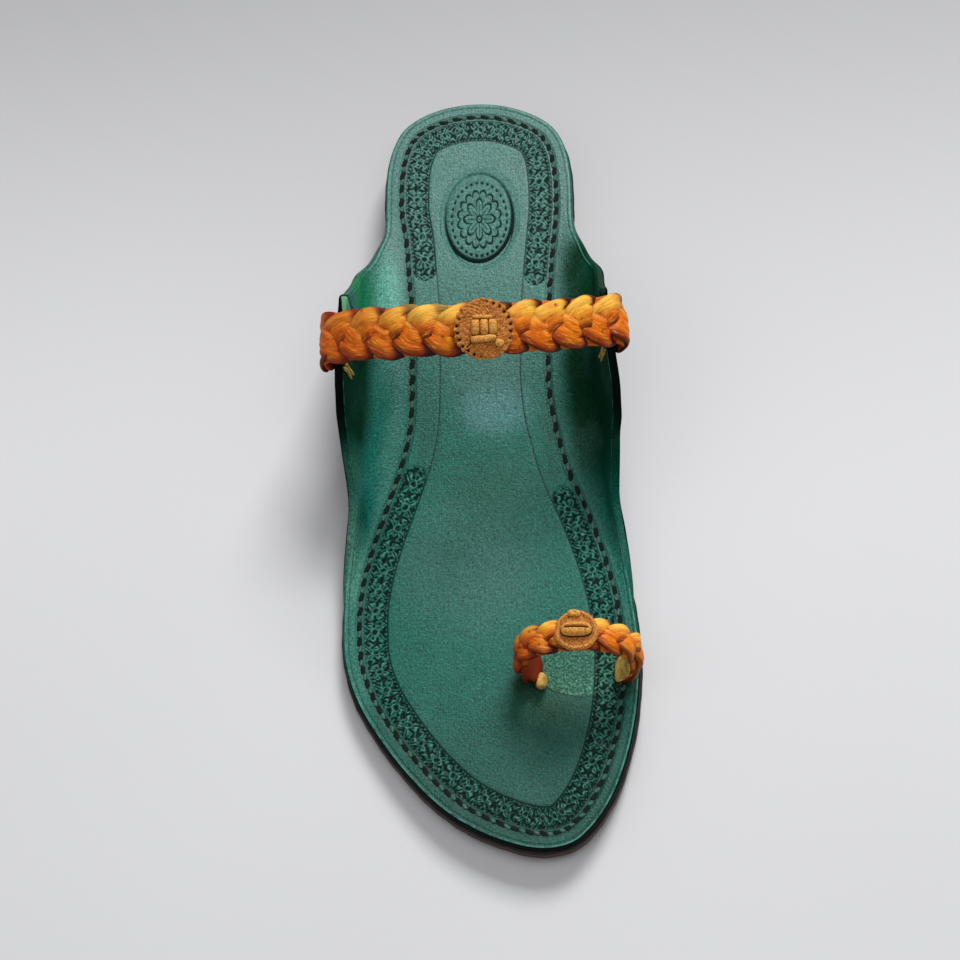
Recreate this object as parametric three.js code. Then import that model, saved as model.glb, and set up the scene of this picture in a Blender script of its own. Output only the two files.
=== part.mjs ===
// A leather toe-ring sandal for the right foot, empty and standing on its sole.
// Millimetres, +Z up. The heel is at +Y, the toe at -Y, and the big-toe side at +X.
import * as THREE from 'three';

// Sole: overall sizes
const SOLE_LENGTH = 268;
const BALL_WIDTH = 96.8;
const WAIST_WIDTH = 56.3;
const HEEL_WIDTH = 63.7;
const OUTSOLE_THICKNESS = 5;
const OUTSOLE_PROUD = 0.6;
const OUTSOLE_BEVEL = 0.9;
const FOOTBED_THICKNESS = 2.8;
const HEEL_HEIGHT = 10;
const HEEL_LENGTH = 61;
const HEEL_TAPER = 2;
const TOE_SPRING = 4;

// Ears: the footbed's two waist flaps, folded up along the sole's seam
const EAR_WIDTH = 48;
const EAR_TURN = 84;
const EAR_FOLD_RADIUS = 14;
const FOLD_INSET = 4;
const RIM_SHARE = 0.6;

// Instep strap: a flat three-strand braid from ear to ear
const STRAP_WIDTH = 17.2;
const STRAP_THICKNESS = 4.4;
const STRAP_PITCH = 10.3;
const STRAP_PLACE = 0.394;
const STRAP_SKEW = 0.006;
const STRAP_RISE = 16;
const STRAP_FORWARD = 8;
const STRAP_TILT = 28;
const STRAP_LAP = 13;
const STRAP_POINT = 9;

// Toe ring: a smaller braid that arches over the big toe
const RING_WIDTH = 11;
const RING_THICKNESS = 4.6;
const RING_PITCH = 7.4;
const RING_PLACE = 0.772;
const RING_CENTRE = 0.307;
const RING_SPAN = 41.5;
const RING_FOOT_SPAN = 32.7;
const RING_HEIGHT = 28;
const RING_LEAN = 2.5;

// Rosette, button and their knots
const ROSETTE_DIAMETER = 19.5;
const ROSETTE_THICKNESS = 1.6;
const ROSETTE_TEETH = 24;
const ROSETTE_TOOTH = 1.1;
const ROSETTE_OFFSET = 4.5;
const KNOT_LENGTH = 8.5;
const KNOT_WIDTH = 8;
const KNOT_HEIGHT = 2;
const BUTTON_DIAMETER = 13.5;
const BUTTON_THICKNESS = 1.6;
const BEAN_LENGTH = 10;
const BEAN_WIDTH = 5;
const BEAN_HEIGHT = 2.6;

// Lashings: thongs that tie the strap to the ears
const LASHING_WIDTH = 2.6;
const LASHING_LENGTH = 10;
const LASHING_INSET = 2;
const LASHING_THICKNESS = 1.2;

// Clearance between pieces that touch, and under the strap where the ears twist
const GAP = 0.3;
const SEAT_GAP = 0.75;

// Fineness of the facets
const SOLE_STATIONS = 50;
const FLAP_STEPS = 8;
const STRAP_STATIONS = 96;
const RING_STATIONS = 54;
const BUTTON_SIDES = 40;
const BLOCK_SIDES = 20;
const MIN_STATION = 0.006;
const END_STATION = 0.3;

const BALL = 'ball';
const WAIST = 'waist';
const HEEL = 'heel';
const WIDTHS = { [BALL]: BALL_WIDTH, [WAIST]: WAIST_WIDTH, [HEEL]: HEEL_WIDTH };

// Sole outline: along is a share of the length from the heel, and the two sides
// are shares of the named width, measured from the long axis
const OUTLINE = [
  { along: 0, width: HEEL, lateral: -0.042, medial: -0.042 },
  { along: 0.0075, width: HEEL, lateral: -0.252, medial: 0.155 },
  { along: 0.031, width: HEEL, lateral: -0.424, medial: 0.339 },
  { along: 0.0597, width: HEEL, lateral: -0.494, medial: 0.419 },
  { along: 0.1, width: HEEL, lateral: -0.53, medial: 0.456 },
  { along: 0.15, width: HEEL, lateral: -0.535, medial: 0.465 },
  { along: 0.2, width: WAIST, lateral: -0.574, medial: 0.509 },
  { along: 0.25, width: WAIST, lateral: -0.555, medial: 0.489 },
  { along: 0.31, width: WAIST, lateral: -0.536, medial: 0.471 },
  { along: 0.37, width: WAIST, lateral: -0.535, medial: 0.465 },
  { along: 0.42, width: WAIST, lateral: -0.538, medial: 0.478 },
  { along: 0.46, width: WAIST, lateral: -0.558, medial: 0.517 },
  { along: 0.5, width: BALL, lateral: -0.354, medial: 0.331 },
  { along: 0.55, width: BALL, lateral: -0.4, medial: 0.388 },
  { along: 0.6, width: BALL, lateral: -0.444, medial: 0.437 },
  { along: 0.653, width: BALL, lateral: -0.477, medial: 0.477 },
  { along: 0.7, width: BALL, lateral: -0.488, medial: 0.5 },
  { along: 0.752, width: BALL, lateral: -0.481, medial: 0.511 },
  { along: 0.806, width: BALL, lateral: -0.437, medial: 0.504 },
  { along: 0.862, width: BALL, lateral: -0.348, medial: 0.479 },
  { along: 0.919, width: BALL, lateral: -0.226, medial: 0.431 },
  { along: 0.953, width: BALL, lateral: -0.128, medial: 0.384 },
  { along: 0.9765, width: BALL, lateral: -0.026, medial: 0.335 },
  { along: 0.992, width: BALL, lateral: 0.075, medial: 0.285 },
  { along: 1, width: BALL, lateral: 0.191, medial: 0.191 },
];

// Ears: reach is a share of the way from the sole's rim to EAR_WIDTH, and turn and
// radius are shares of EAR_TURN and EAR_FOLD_RADIUS
const EARS = [
  { along: 0, reach: 0, turn: 0, radius: 1 },
  { along: 0.15, reach: 0, turn: 0, radius: 1 },
  { along: 0.185, reach: 0.024, turn: 0.2, radius: 1 },
  { along: 0.21, reach: 0.09, turn: 0.45, radius: 1 },
  { along: 0.24, reach: 0.19, turn: 0.7, radius: 1 },
  { along: 0.28, reach: 0.43, turn: 0.92, radius: 1 },
  { along: 0.325, reach: 0.78, turn: 1, radius: 1 },
  { along: 0.351, reach: 1, turn: 1, radius: 1 },
  { along: 0.4, reach: 0.95, turn: 0.96, radius: 1 },
  { along: 0.44, reach: 0.86, turn: 0.93, radius: 1 },
  { along: 0.474, reach: 0.71, turn: 0.92, radius: 0.97 },
  { along: 0.504, reach: 0.53, turn: 0.9, radius: 0.78 },
  { along: 0.552, reach: 0.26, turn: 0.88, radius: 0.42 },
  { along: 0.597, reach: 0.1, turn: 0.82, radius: 0.28 },
  { along: 0.63, reach: 0.035, turn: 0.55, radius: 0.25 },
  { along: 0.66, reach: 0.01, turn: 0.25, radius: 0.25 },
  { along: 0.69, reach: 0, turn: 0, radius: 0.25 },
  { along: 1, reach: 0, turn: 0, radius: 0.25 },
];

// Where the sole's underside is level, as shares of the length: over the heel and a
// little past it, and under the ball
const HEEL_SEAT_SPARE = 2;
const HEEL_SEAT_END = (HEEL_LENGTH + HEEL_SEAT_SPARE) / SOLE_LENGTH;
const TREAD_START = 0.61;
const TREAD_END = 0.75;

const SIDES = [
  { name: 'lateral', sign: -1 },
  { name: 'medial', sign: 1 },
];

const radians = THREE.MathUtils.degToRad;
const clamp = THREE.MathUtils.clamp;
const lerp = THREE.MathUtils.lerp;

// Cubic through a table's rows. A row's slope is taken between its neighbours, level at
// a peak, and never so steep that the curve overshoots.
function readTable(xs, ys, x) {
  const last = xs.length - 1;
  let i = 0;
  while (i < last - 1 && x > xs[i + 1]) i += 1;
  const rate = (k) => (ys[k + 1] - ys[k]) / (xs[k + 1] - xs[k]);
  const slope = (k) => {
    if (k === 0) return rate(0);
    if (k === last) return rate(last - 1);
    const [before, after] = [rate(k - 1), rate(k)];
    if (before * after <= 0) return 0;
    const mean = (ys[k + 1] - ys[k - 1]) / (xs[k + 1] - xs[k - 1]);
    const limit = 3 * Math.min(Math.abs(before), Math.abs(after));
    return clamp(mean, -limit, limit);
  };
  const span = xs[i + 1] - xs[i];
  const u = clamp((x - xs[i]) / span, 0, 1);
  const u2 = u * u;
  const u3 = u2 * u;
  return (2 * u3 - 3 * u2 + 1) * ys[i] + (u3 - 2 * u2 + u) * span * slope(i)
    + (3 * u2 - 2 * u3) * ys[i + 1] + (u3 - u2) * span * slope(i + 1);
}

// The outline is read by an angle that runs evenly round both ends, so they come out round
const turnOf = (along) => Math.acos(1 - 2 * along);
const alongOf = (turn) => (1 - Math.cos(turn)) / 2;
const OUTLINE_TURNS = OUTLINE.map((row) => turnOf(row.along));
const EAR_STATIONS = EARS.map((row) => row.along);
const EDGES = {
  lateral: OUTLINE.map((row) => row.lateral * WIDTHS[row.width]),
  medial: OUTLINE.map((row) => row.medial * WIDTHS[row.width]),
};
const earColumn = (name) => EARS.map((row) => row[name]);
const EAR_REACH = earColumn('reach');
const EAR_TURNS = earColumn('turn');
const EAR_RADII = earColumn('radius');

const soleY = (along) => SOLE_LENGTH * (0.5 - along);
const edgeX = (side, along) => readTable(OUTLINE_TURNS, EDGES[side.name], turnOf(along));

// Height of the outsole's underside: level over the heel, level under the ball, and
// turned up a little at the toe
function soleRise(along) {
  const arch = clamp((along - HEEL_SEAT_END) / (TREAD_START - HEEL_SEAT_END), 0, 1);
  const toe = clamp((along - TREAD_END) / (1 - TREAD_END), 0, 1);
  return (HEEL_HEIGHT + GAP) * (1 + Math.cos(Math.PI * arch)) / 2 + TOE_SPRING * toe ** 2;
}

const footbedTop = (along) => soleRise(along) + OUTSOLE_THICKNESS + GAP + FOOTBED_THICKNESS;

// A rim of leather outside the fold line, narrower where the sole itself is narrow
function rimWidth(along) {
  const half = (edgeX(SIDES[1], along) - edgeX(SIDES[0], along)) / 2;
  return Math.min(FOLD_INSET, half * RIM_SHARE);
}

// One ear's section: how far its leather runs beyond the fold, and how it turns up
function earSection(side, along) {
  const rim = rimWidth(along);
  const edge = edgeX(side, along);
  const width = rim + readTable(EAR_STATIONS, EAR_REACH, along) * (EAR_WIDTH - rim);
  const turn = radians(EAR_TURN) * readTable(EAR_STATIONS, EAR_TURNS, along);
  const radius = EAR_FOLD_RADIUS * readTable(EAR_STATIONS, EAR_RADII, along);
  return { fold: edge - side.sign * rim, width, turn, radius };
}

// A point of the footbed's leather beyond the fold. It runs along an arc of the fold's
// radius and then straight; out is the depth below the upper face.
function leatherPoint(side, along, distance, out) {
  const { fold, turn, radius } = earSection(side, along);
  const bend = Math.min(distance / radius, turn);
  const straight = Math.max(distance - radius * turn, 0);
  const x = radius * Math.sin(bend) + straight * Math.cos(turn) + out * Math.sin(bend);
  const z = radius * (1 - Math.cos(bend)) + straight * Math.sin(turn) - out * Math.cos(bend);
  return new THREE.Vector3(fold + side.sign * x, soleY(along), footbedTop(along) + z);
}

// A closed solid through rings of equal length, with a fan round the middle of each end
function loft(rings) {
  const count = rings[0].length;
  const positions = [];
  const indices = [];
  for (const ring of rings) {
    for (const point of ring) positions.push(point.x, point.y, point.z);
  }
  for (let r = 0; r + 1 < rings.length; r += 1) {
    for (let k = 0; k < count; k += 1) {
      const a = r * count + k;
      const b = r * count + (k + 1) % count;
      indices.push(a, b, b + count, a, b + count, a + count);
    }
  }
  for (const [r, flip] of [[0, true], [rings.length - 1, false]]) {
    const middle = new THREE.Vector3();
    for (const point of rings[r]) middle.addScaledVector(point, 1 / count);
    const centre = positions.length / 3;
    positions.push(middle.x, middle.y, middle.z);
    for (let k = 0; k < count; k += 1) {
      const a = r * count + k;
      const b = r * count + (k + 1) % count;
      indices.push(...(flip ? [centre, b, a] : [centre, a, b]));
    }
  }
  return facingOut(positions, indices);
}

// Turns every face round if the body came out inside out
function facingOut(positions, indices) {
  const corner = (k) => new THREE.Vector3().fromArray(positions, indices[k] * 3);
  let volume = 0;
  for (let k = 0; k < indices.length; k += 3) {
    volume += corner(k).dot(corner(k + 1).cross(corner(k + 2)));
  }
  if (volume < 0) indices.reverse();
  const geometry = new THREE.BufferGeometry();
  geometry.setAttribute('position', new THREE.Float32BufferAttribute(positions, 3));
  geometry.setIndex(indices);
  geometry.computeVertexNormals();
  return geometry;
}

// Stations along the sole: evenly round the ends, with one at each row of the ears' table
function soleStations() {
  const even = [];
  for (let i = 0; i <= SOLE_STATIONS; i += 1) {
    const step = clamp(i, END_STATION, SOLE_STATIONS - END_STATION);
    even.push(alongOf(Math.PI * step / SOLE_STATIONS));
  }
  const rows = EAR_STATIONS.slice(1, -1);
  const clear = even.filter((along) => rows.every((row) => Math.abs(row - along) > MIN_STATION));
  return [...clear, ...rows].sort((a, b) => a - b);
}

const STATIONS = soleStations();

// Outsole: a slab under the whole outline, bevelled along its lower edge
const BEVEL_SHARE = 0.25;
function outsole() {
  return loft(STATIONS.map((along) => {
    const left = edgeX(SIDES[0], along) - OUTSOLE_PROUD;
    const right = edgeX(SIDES[1], along) + OUTSOLE_PROUD;
    const bevel = Math.min(OUTSOLE_BEVEL, (right - left) * BEVEL_SHARE);
    const low = soleRise(along);
    const high = low + OUTSOLE_THICKNESS;
    const y = soleY(along);
    return [
      [left, high], [right, high], [right, low + bevel],
      [right - bevel, low], [left + bevel, low], [left, low + bevel],
    ].map(([x, z]) => new THREE.Vector3(x, y, z));
  }));
}

// Heel: a stacked block under the rear of the outsole, a little smaller at the floor
function heel() {
  const breast = HEEL_LENGTH / SOLE_LENGTH;
  const back = STATIONS.filter((along) => along < breast - MIN_STATION);
  const inset = (taper) => {
    const outline = [];
    const half = HEEL_WIDTH / 2;
    const middle = (edgeX(SIDES[0], breast) + edgeX(SIDES[1], breast)) / 2;
    const shrink = (half - taper) / half;
    const trace = (side, along) => {
      const x = middle + (edgeX(side, along) + side.sign * OUTSOLE_PROUD - middle) * shrink;
      outline.push([x, soleY(along) - taper * (1 - along / breast)]);
    };
    for (const along of back) trace(SIDES[0], along);
    trace(SIDES[0], breast);
    trace(SIDES[1], breast);
    for (const along of [...back].reverse()) trace(SIDES[1], along);
    return outline;
  };
  const ring = (taper, z) => inset(taper).map(([x, y]) => new THREE.Vector3(x, y, z));
  return loft([ring(HEEL_TAPER, 0), ring(0, HEEL_HEIGHT)]);
}

// Footbed: one sheet of leather, level between the folds and turned up at the ears
function footbed() {
  return loft(STATIONS.map((along) => {
    const upper = [];
    const under = [];
    for (const side of SIDES) {
      const { width } = earSection(side, along);
      const rows = { upper: [], under: [] };
      for (let k = 0; k <= FLAP_STEPS; k += 1) {
        const distance = width * k / FLAP_STEPS;
        rows.upper.push(leatherPoint(side, along, distance, 0));
        rows.under.push(leatherPoint(side, along, distance, FOOTBED_THICKNESS));
      }
      if (side.sign < 0) {
        upper.push(...rows.upper.reverse());
        under.push(...rows.under.reverse());
      } else {
        upper.push(...rows.upper);
        under.push(...rows.under);
      }
    }
    return [...upper, ...under.reverse()];
  }));
}

// A braided band is carried by frames along its route: a place, the direction across
// the band, and the direction out of its face
function frameRoute(points, across, stations) {
  const route = new THREE.CatmullRomCurve3(points, false, 'centripetal');
  route.arcLengthDivisions = 600;
  const frames = [];
  for (let i = 0; i <= stations; i += 1) {
    const share = i / stations;
    const tangent = route.getTangentAt(share);
    const wide = across(route.getPointAt(share));
    wide.addScaledVector(tangent, -wide.dot(tangent)).normalize();
    const out = new THREE.Vector3().crossVectors(wide, tangent).normalize();
    frames.push({ place: route.getPointAt(share), wide, out });
  }
  return { frames, length: route.getLength() };
}

// Relief of a three-strand braid: two rows of lobes that lean to the middle, half a
// pitch apart. Returns 0 in the grooves and 1 on the crests.
const LOBE_LEAN = 0.55;
const LOBE_SHARPNESS = 0.7;
const LOBE_FALL = 0.5;
function lobe(along, across, width, pitch) {
  const row = across < 0 ? 0.5 : 0;
  const lean = Math.abs(across) * 2 / width * LOBE_LEAN;
  const crest = Math.abs(Math.sin(Math.PI * (along / pitch + lean + row)));
  const ridge = 1 - LOBE_FALL * (Math.abs(across) * 4 / width - 1) ** 2;
  return crest ** LOBE_SHARPNESS * ridge;
}

// Section of a braid: places on the upper face as shares of the half width, then the
// under face, which stays level
const UPPER_PLACES = [-1, -0.8, -0.5, -0.2, 0, 0.2, 0.5, 0.8, 1];
const UNDER_PLACES = [0.86, 0.3, -0.3, -0.86];
const GROOVE_DEPTH = 0.34;
const EDGE_SCALLOP = 0.1;
const EDGE_DROP = 0.35;
const END_NARROWING = 0.45;

function braid({ frames, length }, { width, thickness, pitch, taper }) {
  return loft(frames.map((frame, i) => {
    const along = length * i / (frames.length - 1);
    const fromEnd = Math.min(along, length - along);
    const rounding = taper ? Math.sin(Math.min(fromEnd / taper, 1) * Math.PI / 2) : 1;
    const narrow = lerp(END_NARROWING, 1, rounding);
    const half = width / 2 * narrow;
    const at = (across, out) => frame.place.clone()
      .addScaledVector(frame.wide, across).addScaledVector(frame.out, out);
    const upper = UPPER_PLACES.map((share) => {
      const crest = lobe(along, share * width / 2, width, pitch);
      const scallop = 1 - EDGE_SCALLOP * (1 - crest) * share ** 2;
      const drop = EDGE_DROP * share ** 4;
      const height = thickness * (0.5 - GROOVE_DEPTH * (1 - crest) * (1 - drop) - drop);
      return at(share * half * scallop, height);
    });
    const under = UNDER_PLACES.map((share) => at(share * half, -thickness / 2));
    return [...upper, ...under];
  }));
}

// The strap crosses a little aslant, so its two ends stand at different stations
const strapPlace = (side) => STRAP_PLACE - side.sign * STRAP_SKEW;

// Where the strap meets an ear: the ear's outer corner, the directions up and out of its
// face there, and the direction along the ear at a depth below the cut edge
function earSeat(side) {
  const middle = strapPlace(side);
  const half = STRAP_WIDTH / 2 / SOLE_LENGTH;
  const place = (along, below) => {
    const { width } = earSection(side, along);
    return leatherPoint(side, along, width - below, FOOTBED_THICKNESS);
  };
  const forwardAt = (below) => place(middle + half, below)
    .sub(place(middle - half, below)).normalize();
  const corner = place(middle, 0);
  const up = corner.clone().sub(place(middle, STRAP_LAP)).normalize();
  const out = new THREE.Vector3().crossVectors(up, forwardAt(STRAP_LAP / 2)).normalize();
  if (out.x * side.sign < 0) out.negate();
  return { corner, up, out, forwardAt };
}

// The strap laps up each ear's outer face, bends over its edge and arches over the foot
const LAP_SHARES = [1, 0.7, 0.4];
const BEND_INSET = 1;
const BEND_TURN = 60;
const BEND_STEPS = 3;
const ARCH_STEPS = 8;
function strapHalf({ corner, up, out }, crown) {
  const off = SEAT_GAP + STRAP_THICKNESS / 2;
  const centre = corner.clone().addScaledVector(out, -BEND_INSET).addScaledVector(up, -BEND_INSET);
  const radius = Math.hypot(BEND_INSET, BEND_INSET) + off;
  const onFace = (below) => corner.clone().addScaledVector(up, -below).addScaledVector(out, off);
  const points = LAP_SHARES.map((share) => onFace(STRAP_LAP * share));
  const rim = new THREE.Vector3();
  for (let k = 0; k <= BEND_STEPS; k += 1) {
    const turn = radians(BEND_TURN) * k / BEND_STEPS;
    rim.copy(centre).addScaledVector(out, radius * Math.cos(turn));
    rim.addScaledVector(up, radius * Math.sin(turn));
    points.push(rim.clone());
  }
  for (let k = 1; k < ARCH_STEPS; k += 1) {
    const share = k / ARCH_STEPS;
    const rise = 1 - (1 - share) ** 2;
    points.push(new THREE.Vector3(
      lerp(rim.x, crown.x, share),
      lerp(rim.y, crown.y, rise),
      lerp(rim.z, crown.z, rise),
    ));
  }
  return points;
}

function strapRoute() {
  const seats = SIDES.map(earSeat);
  const crown = seats[0].corner.clone().lerp(seats[1].corner, 0.5);
  crown.y -= STRAP_FORWARD;
  crown.z += STRAP_RISE + STRAP_THICKNESS / 2;
  const [lateral, medial] = seats.map((seat) => strapHalf(seat, crown));
  const tilt = radians(STRAP_TILT);
  const tilted = new THREE.Vector3(0, -Math.cos(tilt), -Math.sin(tilt));
  const across = (place) => {
    const seat = place.x < crown.x ? seats[0] : seats[1];
    const reach = Math.abs(seat.corner.x - crown.x);
    const inward = clamp(1 - Math.abs(place.x - crown.x) / reach, 0, 1);
    const below = clamp(seat.corner.clone().sub(place).dot(seat.up), 0, STRAP_LAP);
    return seat.forwardAt(below).lerp(tilted, Math.sqrt(inward)).normalize();
  };
  return frameRoute([...lateral, crown, ...medial.reverse()], across, STRAP_STATIONS);
}

// The ring stands on the footbed beside the big toe and its feet draw in under its sides.
// height is a share of its rise, side of its half span, and foot of the way to the foot span.
const RING_SHAPE = [
  { height: 0, side: 1, foot: 1 },
  { height: 0.06, side: 1, foot: 1 },
  { height: 0.2, side: 1, foot: 0.45 },
  { height: 0.48, side: 1, foot: 0 },
  { height: 0.78, side: 0.86, foot: 0 },
  { height: 0.95, side: 0.48, foot: 0 },
];
function ringRoute() {
  const half = (RING_SPAN - RING_THICKNESS) / 2;
  const footHalf = (RING_FOOT_SPAN - RING_THICKNESS) / 2;
  const rise = RING_HEIGHT - RING_THICKNESS / 2;
  const x = BALL_WIDTH * RING_CENTRE;
  const y = soleY(RING_PLACE);
  const low = footbedTop(RING_PLACE + RING_WIDTH / 2 / SOLE_LENGTH) + GAP;
  const place = (sign, { height, side, foot }) => new THREE.Vector3(
    x + sign * lerp(side * half, footHalf, foot),
    y + RING_LEAN * height ** 2,
    low + rise * height,
  );
  const points = [
    ...RING_SHAPE.map((row) => place(-1, row)),
    place(0, { height: 1, side: 0, foot: 0 }),
    ...[...RING_SHAPE].reverse().map((row) => place(1, row)),
  ];
  return frameRoute(points, () => new THREE.Vector3(0, -1, 0), RING_STATIONS);
}

// A place over a band's face: along and across the band from a middle, out from it. On
// a bend the face is longer than the route, so lengths along it are drawn in.
function overBand({ frames, length }, middle, along, across, out) {
  const stepLength = length / (frames.length - 1);
  const centre = Math.round((0.5 + middle / length) * (frames.length - 1));
  const [before, after] = [frames[centre - 2], frames[centre + 2]];
  const bend = before.out.angleTo(after.out) / (4 * stepLength);
  const share = (0.5 * length + middle + along / (1 + bend * out)) / stepLength;
  const i = clamp(Math.floor(share), 0, frames.length - 2);
  const mix = (key) => frames[i][key].clone().lerp(frames[i + 1][key], share - i);
  return mix('place').addScaledVector(mix('wide'), across).addScaledVector(mix('out'), out);
}

// A leather disc that follows the band under it. Every other side steps in by the tooth.
// Its flat faces have a ring of corners part way in, so they follow the band too.
const DISC_INNER = 0.5;
function disc(band, middle, { diameter, thickness, low, sides, tooth }) {
  const ring = (share, out) => {
    const points = [];
    for (let k = 0; k < sides; k += 1) {
      const turn = 2 * Math.PI * k / sides;
      const radius = share * (diameter / 2 - (k % 2) * tooth);
      points.push(overBand(band, middle, radius * Math.cos(turn), radius * Math.sin(turn), out));
    }
    return points;
  };
  const high = low + thickness;
  return loft([ring(DISC_INNER, low), ring(1, low), ring(1, high), ring(DISC_INNER, high)]);
}

// A low block that follows the band, rounder the nearer its power is to 1. Its
// sides stand upright to a shoulder and then draw in to a smaller top.
const BLOCK_SHOULDER = 0.6;
const BLOCK_TOP = 0.75;
function block(band, middle, { length, width, height, low, power }) {
  const ring = (share, out) => {
    const points = [];
    for (let k = 0; k < BLOCK_SIDES; k += 1) {
      const turn = 2 * Math.PI * (k + 0.5) / BLOCK_SIDES;
      const round = (value) => Math.sign(value) * Math.abs(value) ** power;
      points.push(overBand(
        band,
        middle,
        share * length / 2 * round(Math.cos(turn)),
        share * width / 2 * round(Math.sin(turn)),
        out,
      ));
    }
    return points;
  };
  const shoulder = low + height * BLOCK_SHOULDER;
  return loft([ring(1, low), ring(1, shoulder), ring(BLOCK_TOP, low + height)]);
}

// A thong that lies on an ear's inner face, at the strap's front edge
const LASHING_STEPS = 3;
function lashing(side) {
  const along = strapPlace(side) + (STRAP_WIDTH / 2 - LASHING_INSET) / SOLE_LENGTH;
  const half = LASHING_WIDTH / 2 / SOLE_LENGTH;
  const rows = [];
  for (let k = 0; k <= LASHING_STEPS; k += 1) {
    const at = (shift, out) => {
      const { width } = earSection(side, along + shift);
      const below = LASHING_LENGTH * (1 - k / LASHING_STEPS) + LASHING_INSET;
      return leatherPoint(side, along + shift, width - below, out);
    };
    const face = -GAP;
    const back = -GAP - LASHING_THICKNESS;
    rows.push([at(-half, face), at(half, face), at(half, back), at(-half, back)]);
  }
  return loft(rows);
}

const DYED_LEATHER = { color: 0x2f6a58, roughness: 0.55, metalness: 0 };
const SOLE_LEATHER = { color: 0x7a4426, roughness: 0.7, metalness: 0 };
const BRAID_LEATHER = { color: 0xd9781e, roughness: 0.6, metalness: 0 };
const TAN_LEATHER = { color: 0xb9834a, roughness: 0.8, metalness: 0 };

const strap = strapRoute();
const ring = ringRoute();
const sandal = new THREE.Group();

function add(name, geometry, finish) {
  const mesh = new THREE.Mesh(geometry, new THREE.MeshStandardMaterial(finish));
  mesh.name = name;
  sandal.add(mesh);
}

add('outsole', outsole(), SOLE_LEATHER);
add('heel', heel(), SOLE_LEATHER);
add('footbed', footbed(), DYED_LEATHER);
add('instep_strap', braid(strap, {
  width: STRAP_WIDTH, thickness: STRAP_THICKNESS, pitch: STRAP_PITCH, taper: STRAP_POINT,
}), BRAID_LEATHER);
add('toe_ring', braid(ring, {
  width: RING_WIDTH, thickness: RING_THICKNESS, pitch: RING_PITCH, taper: 0,
}), BRAID_LEATHER);

const rosetteLow = STRAP_THICKNESS / 2 + GAP;
const knotLow = rosetteLow + ROSETTE_THICKNESS + GAP;
add('rosette', disc(strap, ROSETTE_OFFSET, {
  diameter: ROSETTE_DIAMETER, thickness: ROSETTE_THICKNESS, low: rosetteLow,
  sides: 2 * ROSETTE_TEETH, tooth: ROSETTE_TOOTH,
}), TAN_LEATHER);
add('rosette_knot', block(strap, ROSETTE_OFFSET, {
  length: KNOT_LENGTH, width: KNOT_WIDTH, height: KNOT_HEIGHT, low: knotLow, power: 0.35,
}), TAN_LEATHER);

const buttonLow = RING_THICKNESS / 2 + GAP;
const beanLow = buttonLow + BUTTON_THICKNESS + GAP;
add('ring_button', disc(ring, 0, {
  diameter: BUTTON_DIAMETER, thickness: BUTTON_THICKNESS, low: buttonLow,
  sides: BUTTON_SIDES, tooth: 0,
}), TAN_LEATHER);
add('ring_bean', block(ring, 0, {
  length: BEAN_LENGTH, width: BEAN_WIDTH, height: BEAN_HEIGHT, low: beanLow, power: 0.7,
}), TAN_LEATHER);

for (const side of SIDES) add(`lashing_${side.name}`, lashing(side), TAN_LEATHER);

// The origin is under the middle of the whole sandal, on the floor
const box = new THREE.Box3().setFromObject(sandal);
const middle = box.getCenter(new THREE.Vector3());
sandal.position.set(-middle.x, -middle.y, -box.min.z);

export default sandal;
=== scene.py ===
"""Looks of a green toe-ring sandal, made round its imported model.

Lengths are millimetres in the sandal's own frame: heel at +Y, toe at -Y, big-toe side at
+X. piece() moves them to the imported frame, in metres. Sides are +1 for the big-toe side,
medial, and -1 for the little-toe side, lateral.
"""

from functools import reduce
from math import cos, pi, radians, sin

import bpy
import numpy as np
from mathutils import Matrix, Vector


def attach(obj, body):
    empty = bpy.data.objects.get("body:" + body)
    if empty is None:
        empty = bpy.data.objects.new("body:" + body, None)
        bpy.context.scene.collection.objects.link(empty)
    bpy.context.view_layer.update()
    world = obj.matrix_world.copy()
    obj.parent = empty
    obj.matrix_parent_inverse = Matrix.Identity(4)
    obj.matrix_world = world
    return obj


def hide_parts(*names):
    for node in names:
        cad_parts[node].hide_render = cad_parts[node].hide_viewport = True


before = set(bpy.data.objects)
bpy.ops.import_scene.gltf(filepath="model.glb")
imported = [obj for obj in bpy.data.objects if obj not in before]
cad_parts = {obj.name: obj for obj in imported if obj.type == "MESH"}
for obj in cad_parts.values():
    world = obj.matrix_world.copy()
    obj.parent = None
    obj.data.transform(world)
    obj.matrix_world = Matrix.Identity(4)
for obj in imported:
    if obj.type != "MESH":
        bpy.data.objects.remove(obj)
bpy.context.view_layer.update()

MM = 0.001
CENTRE = np.array([-1.205, 0.0, 0.0])
MEDIAL, LATERAL = 1, -1

# Sole and ears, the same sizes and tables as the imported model
SOLE_LENGTH, BALL_WIDTH, WAIST_WIDTH, HEEL_WIDTH = 268, 96.8, 56.3, 63.7
OUTSOLE_THICKNESS, OUTSOLE_PROUD, FOOTBED_THICKNESS = 5, 0.6, 2.8
HEEL_HEIGHT, HEEL_LENGTH, TOE_SPRING = 10, 61, 4
EAR_WIDTH, EAR_TURN, EAR_FOLD_RADIUS = 48, 84, 14
FOLD_INSET, RIM_SHARE = 4, 0.6
GAP, SEAT_GAP = 0.3, 0.75
HEEL_SEAT_END = (HEEL_LENGTH + 2) / SOLE_LENGTH
TREAD_START, TREAD_END = 0.61, 0.75

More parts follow.
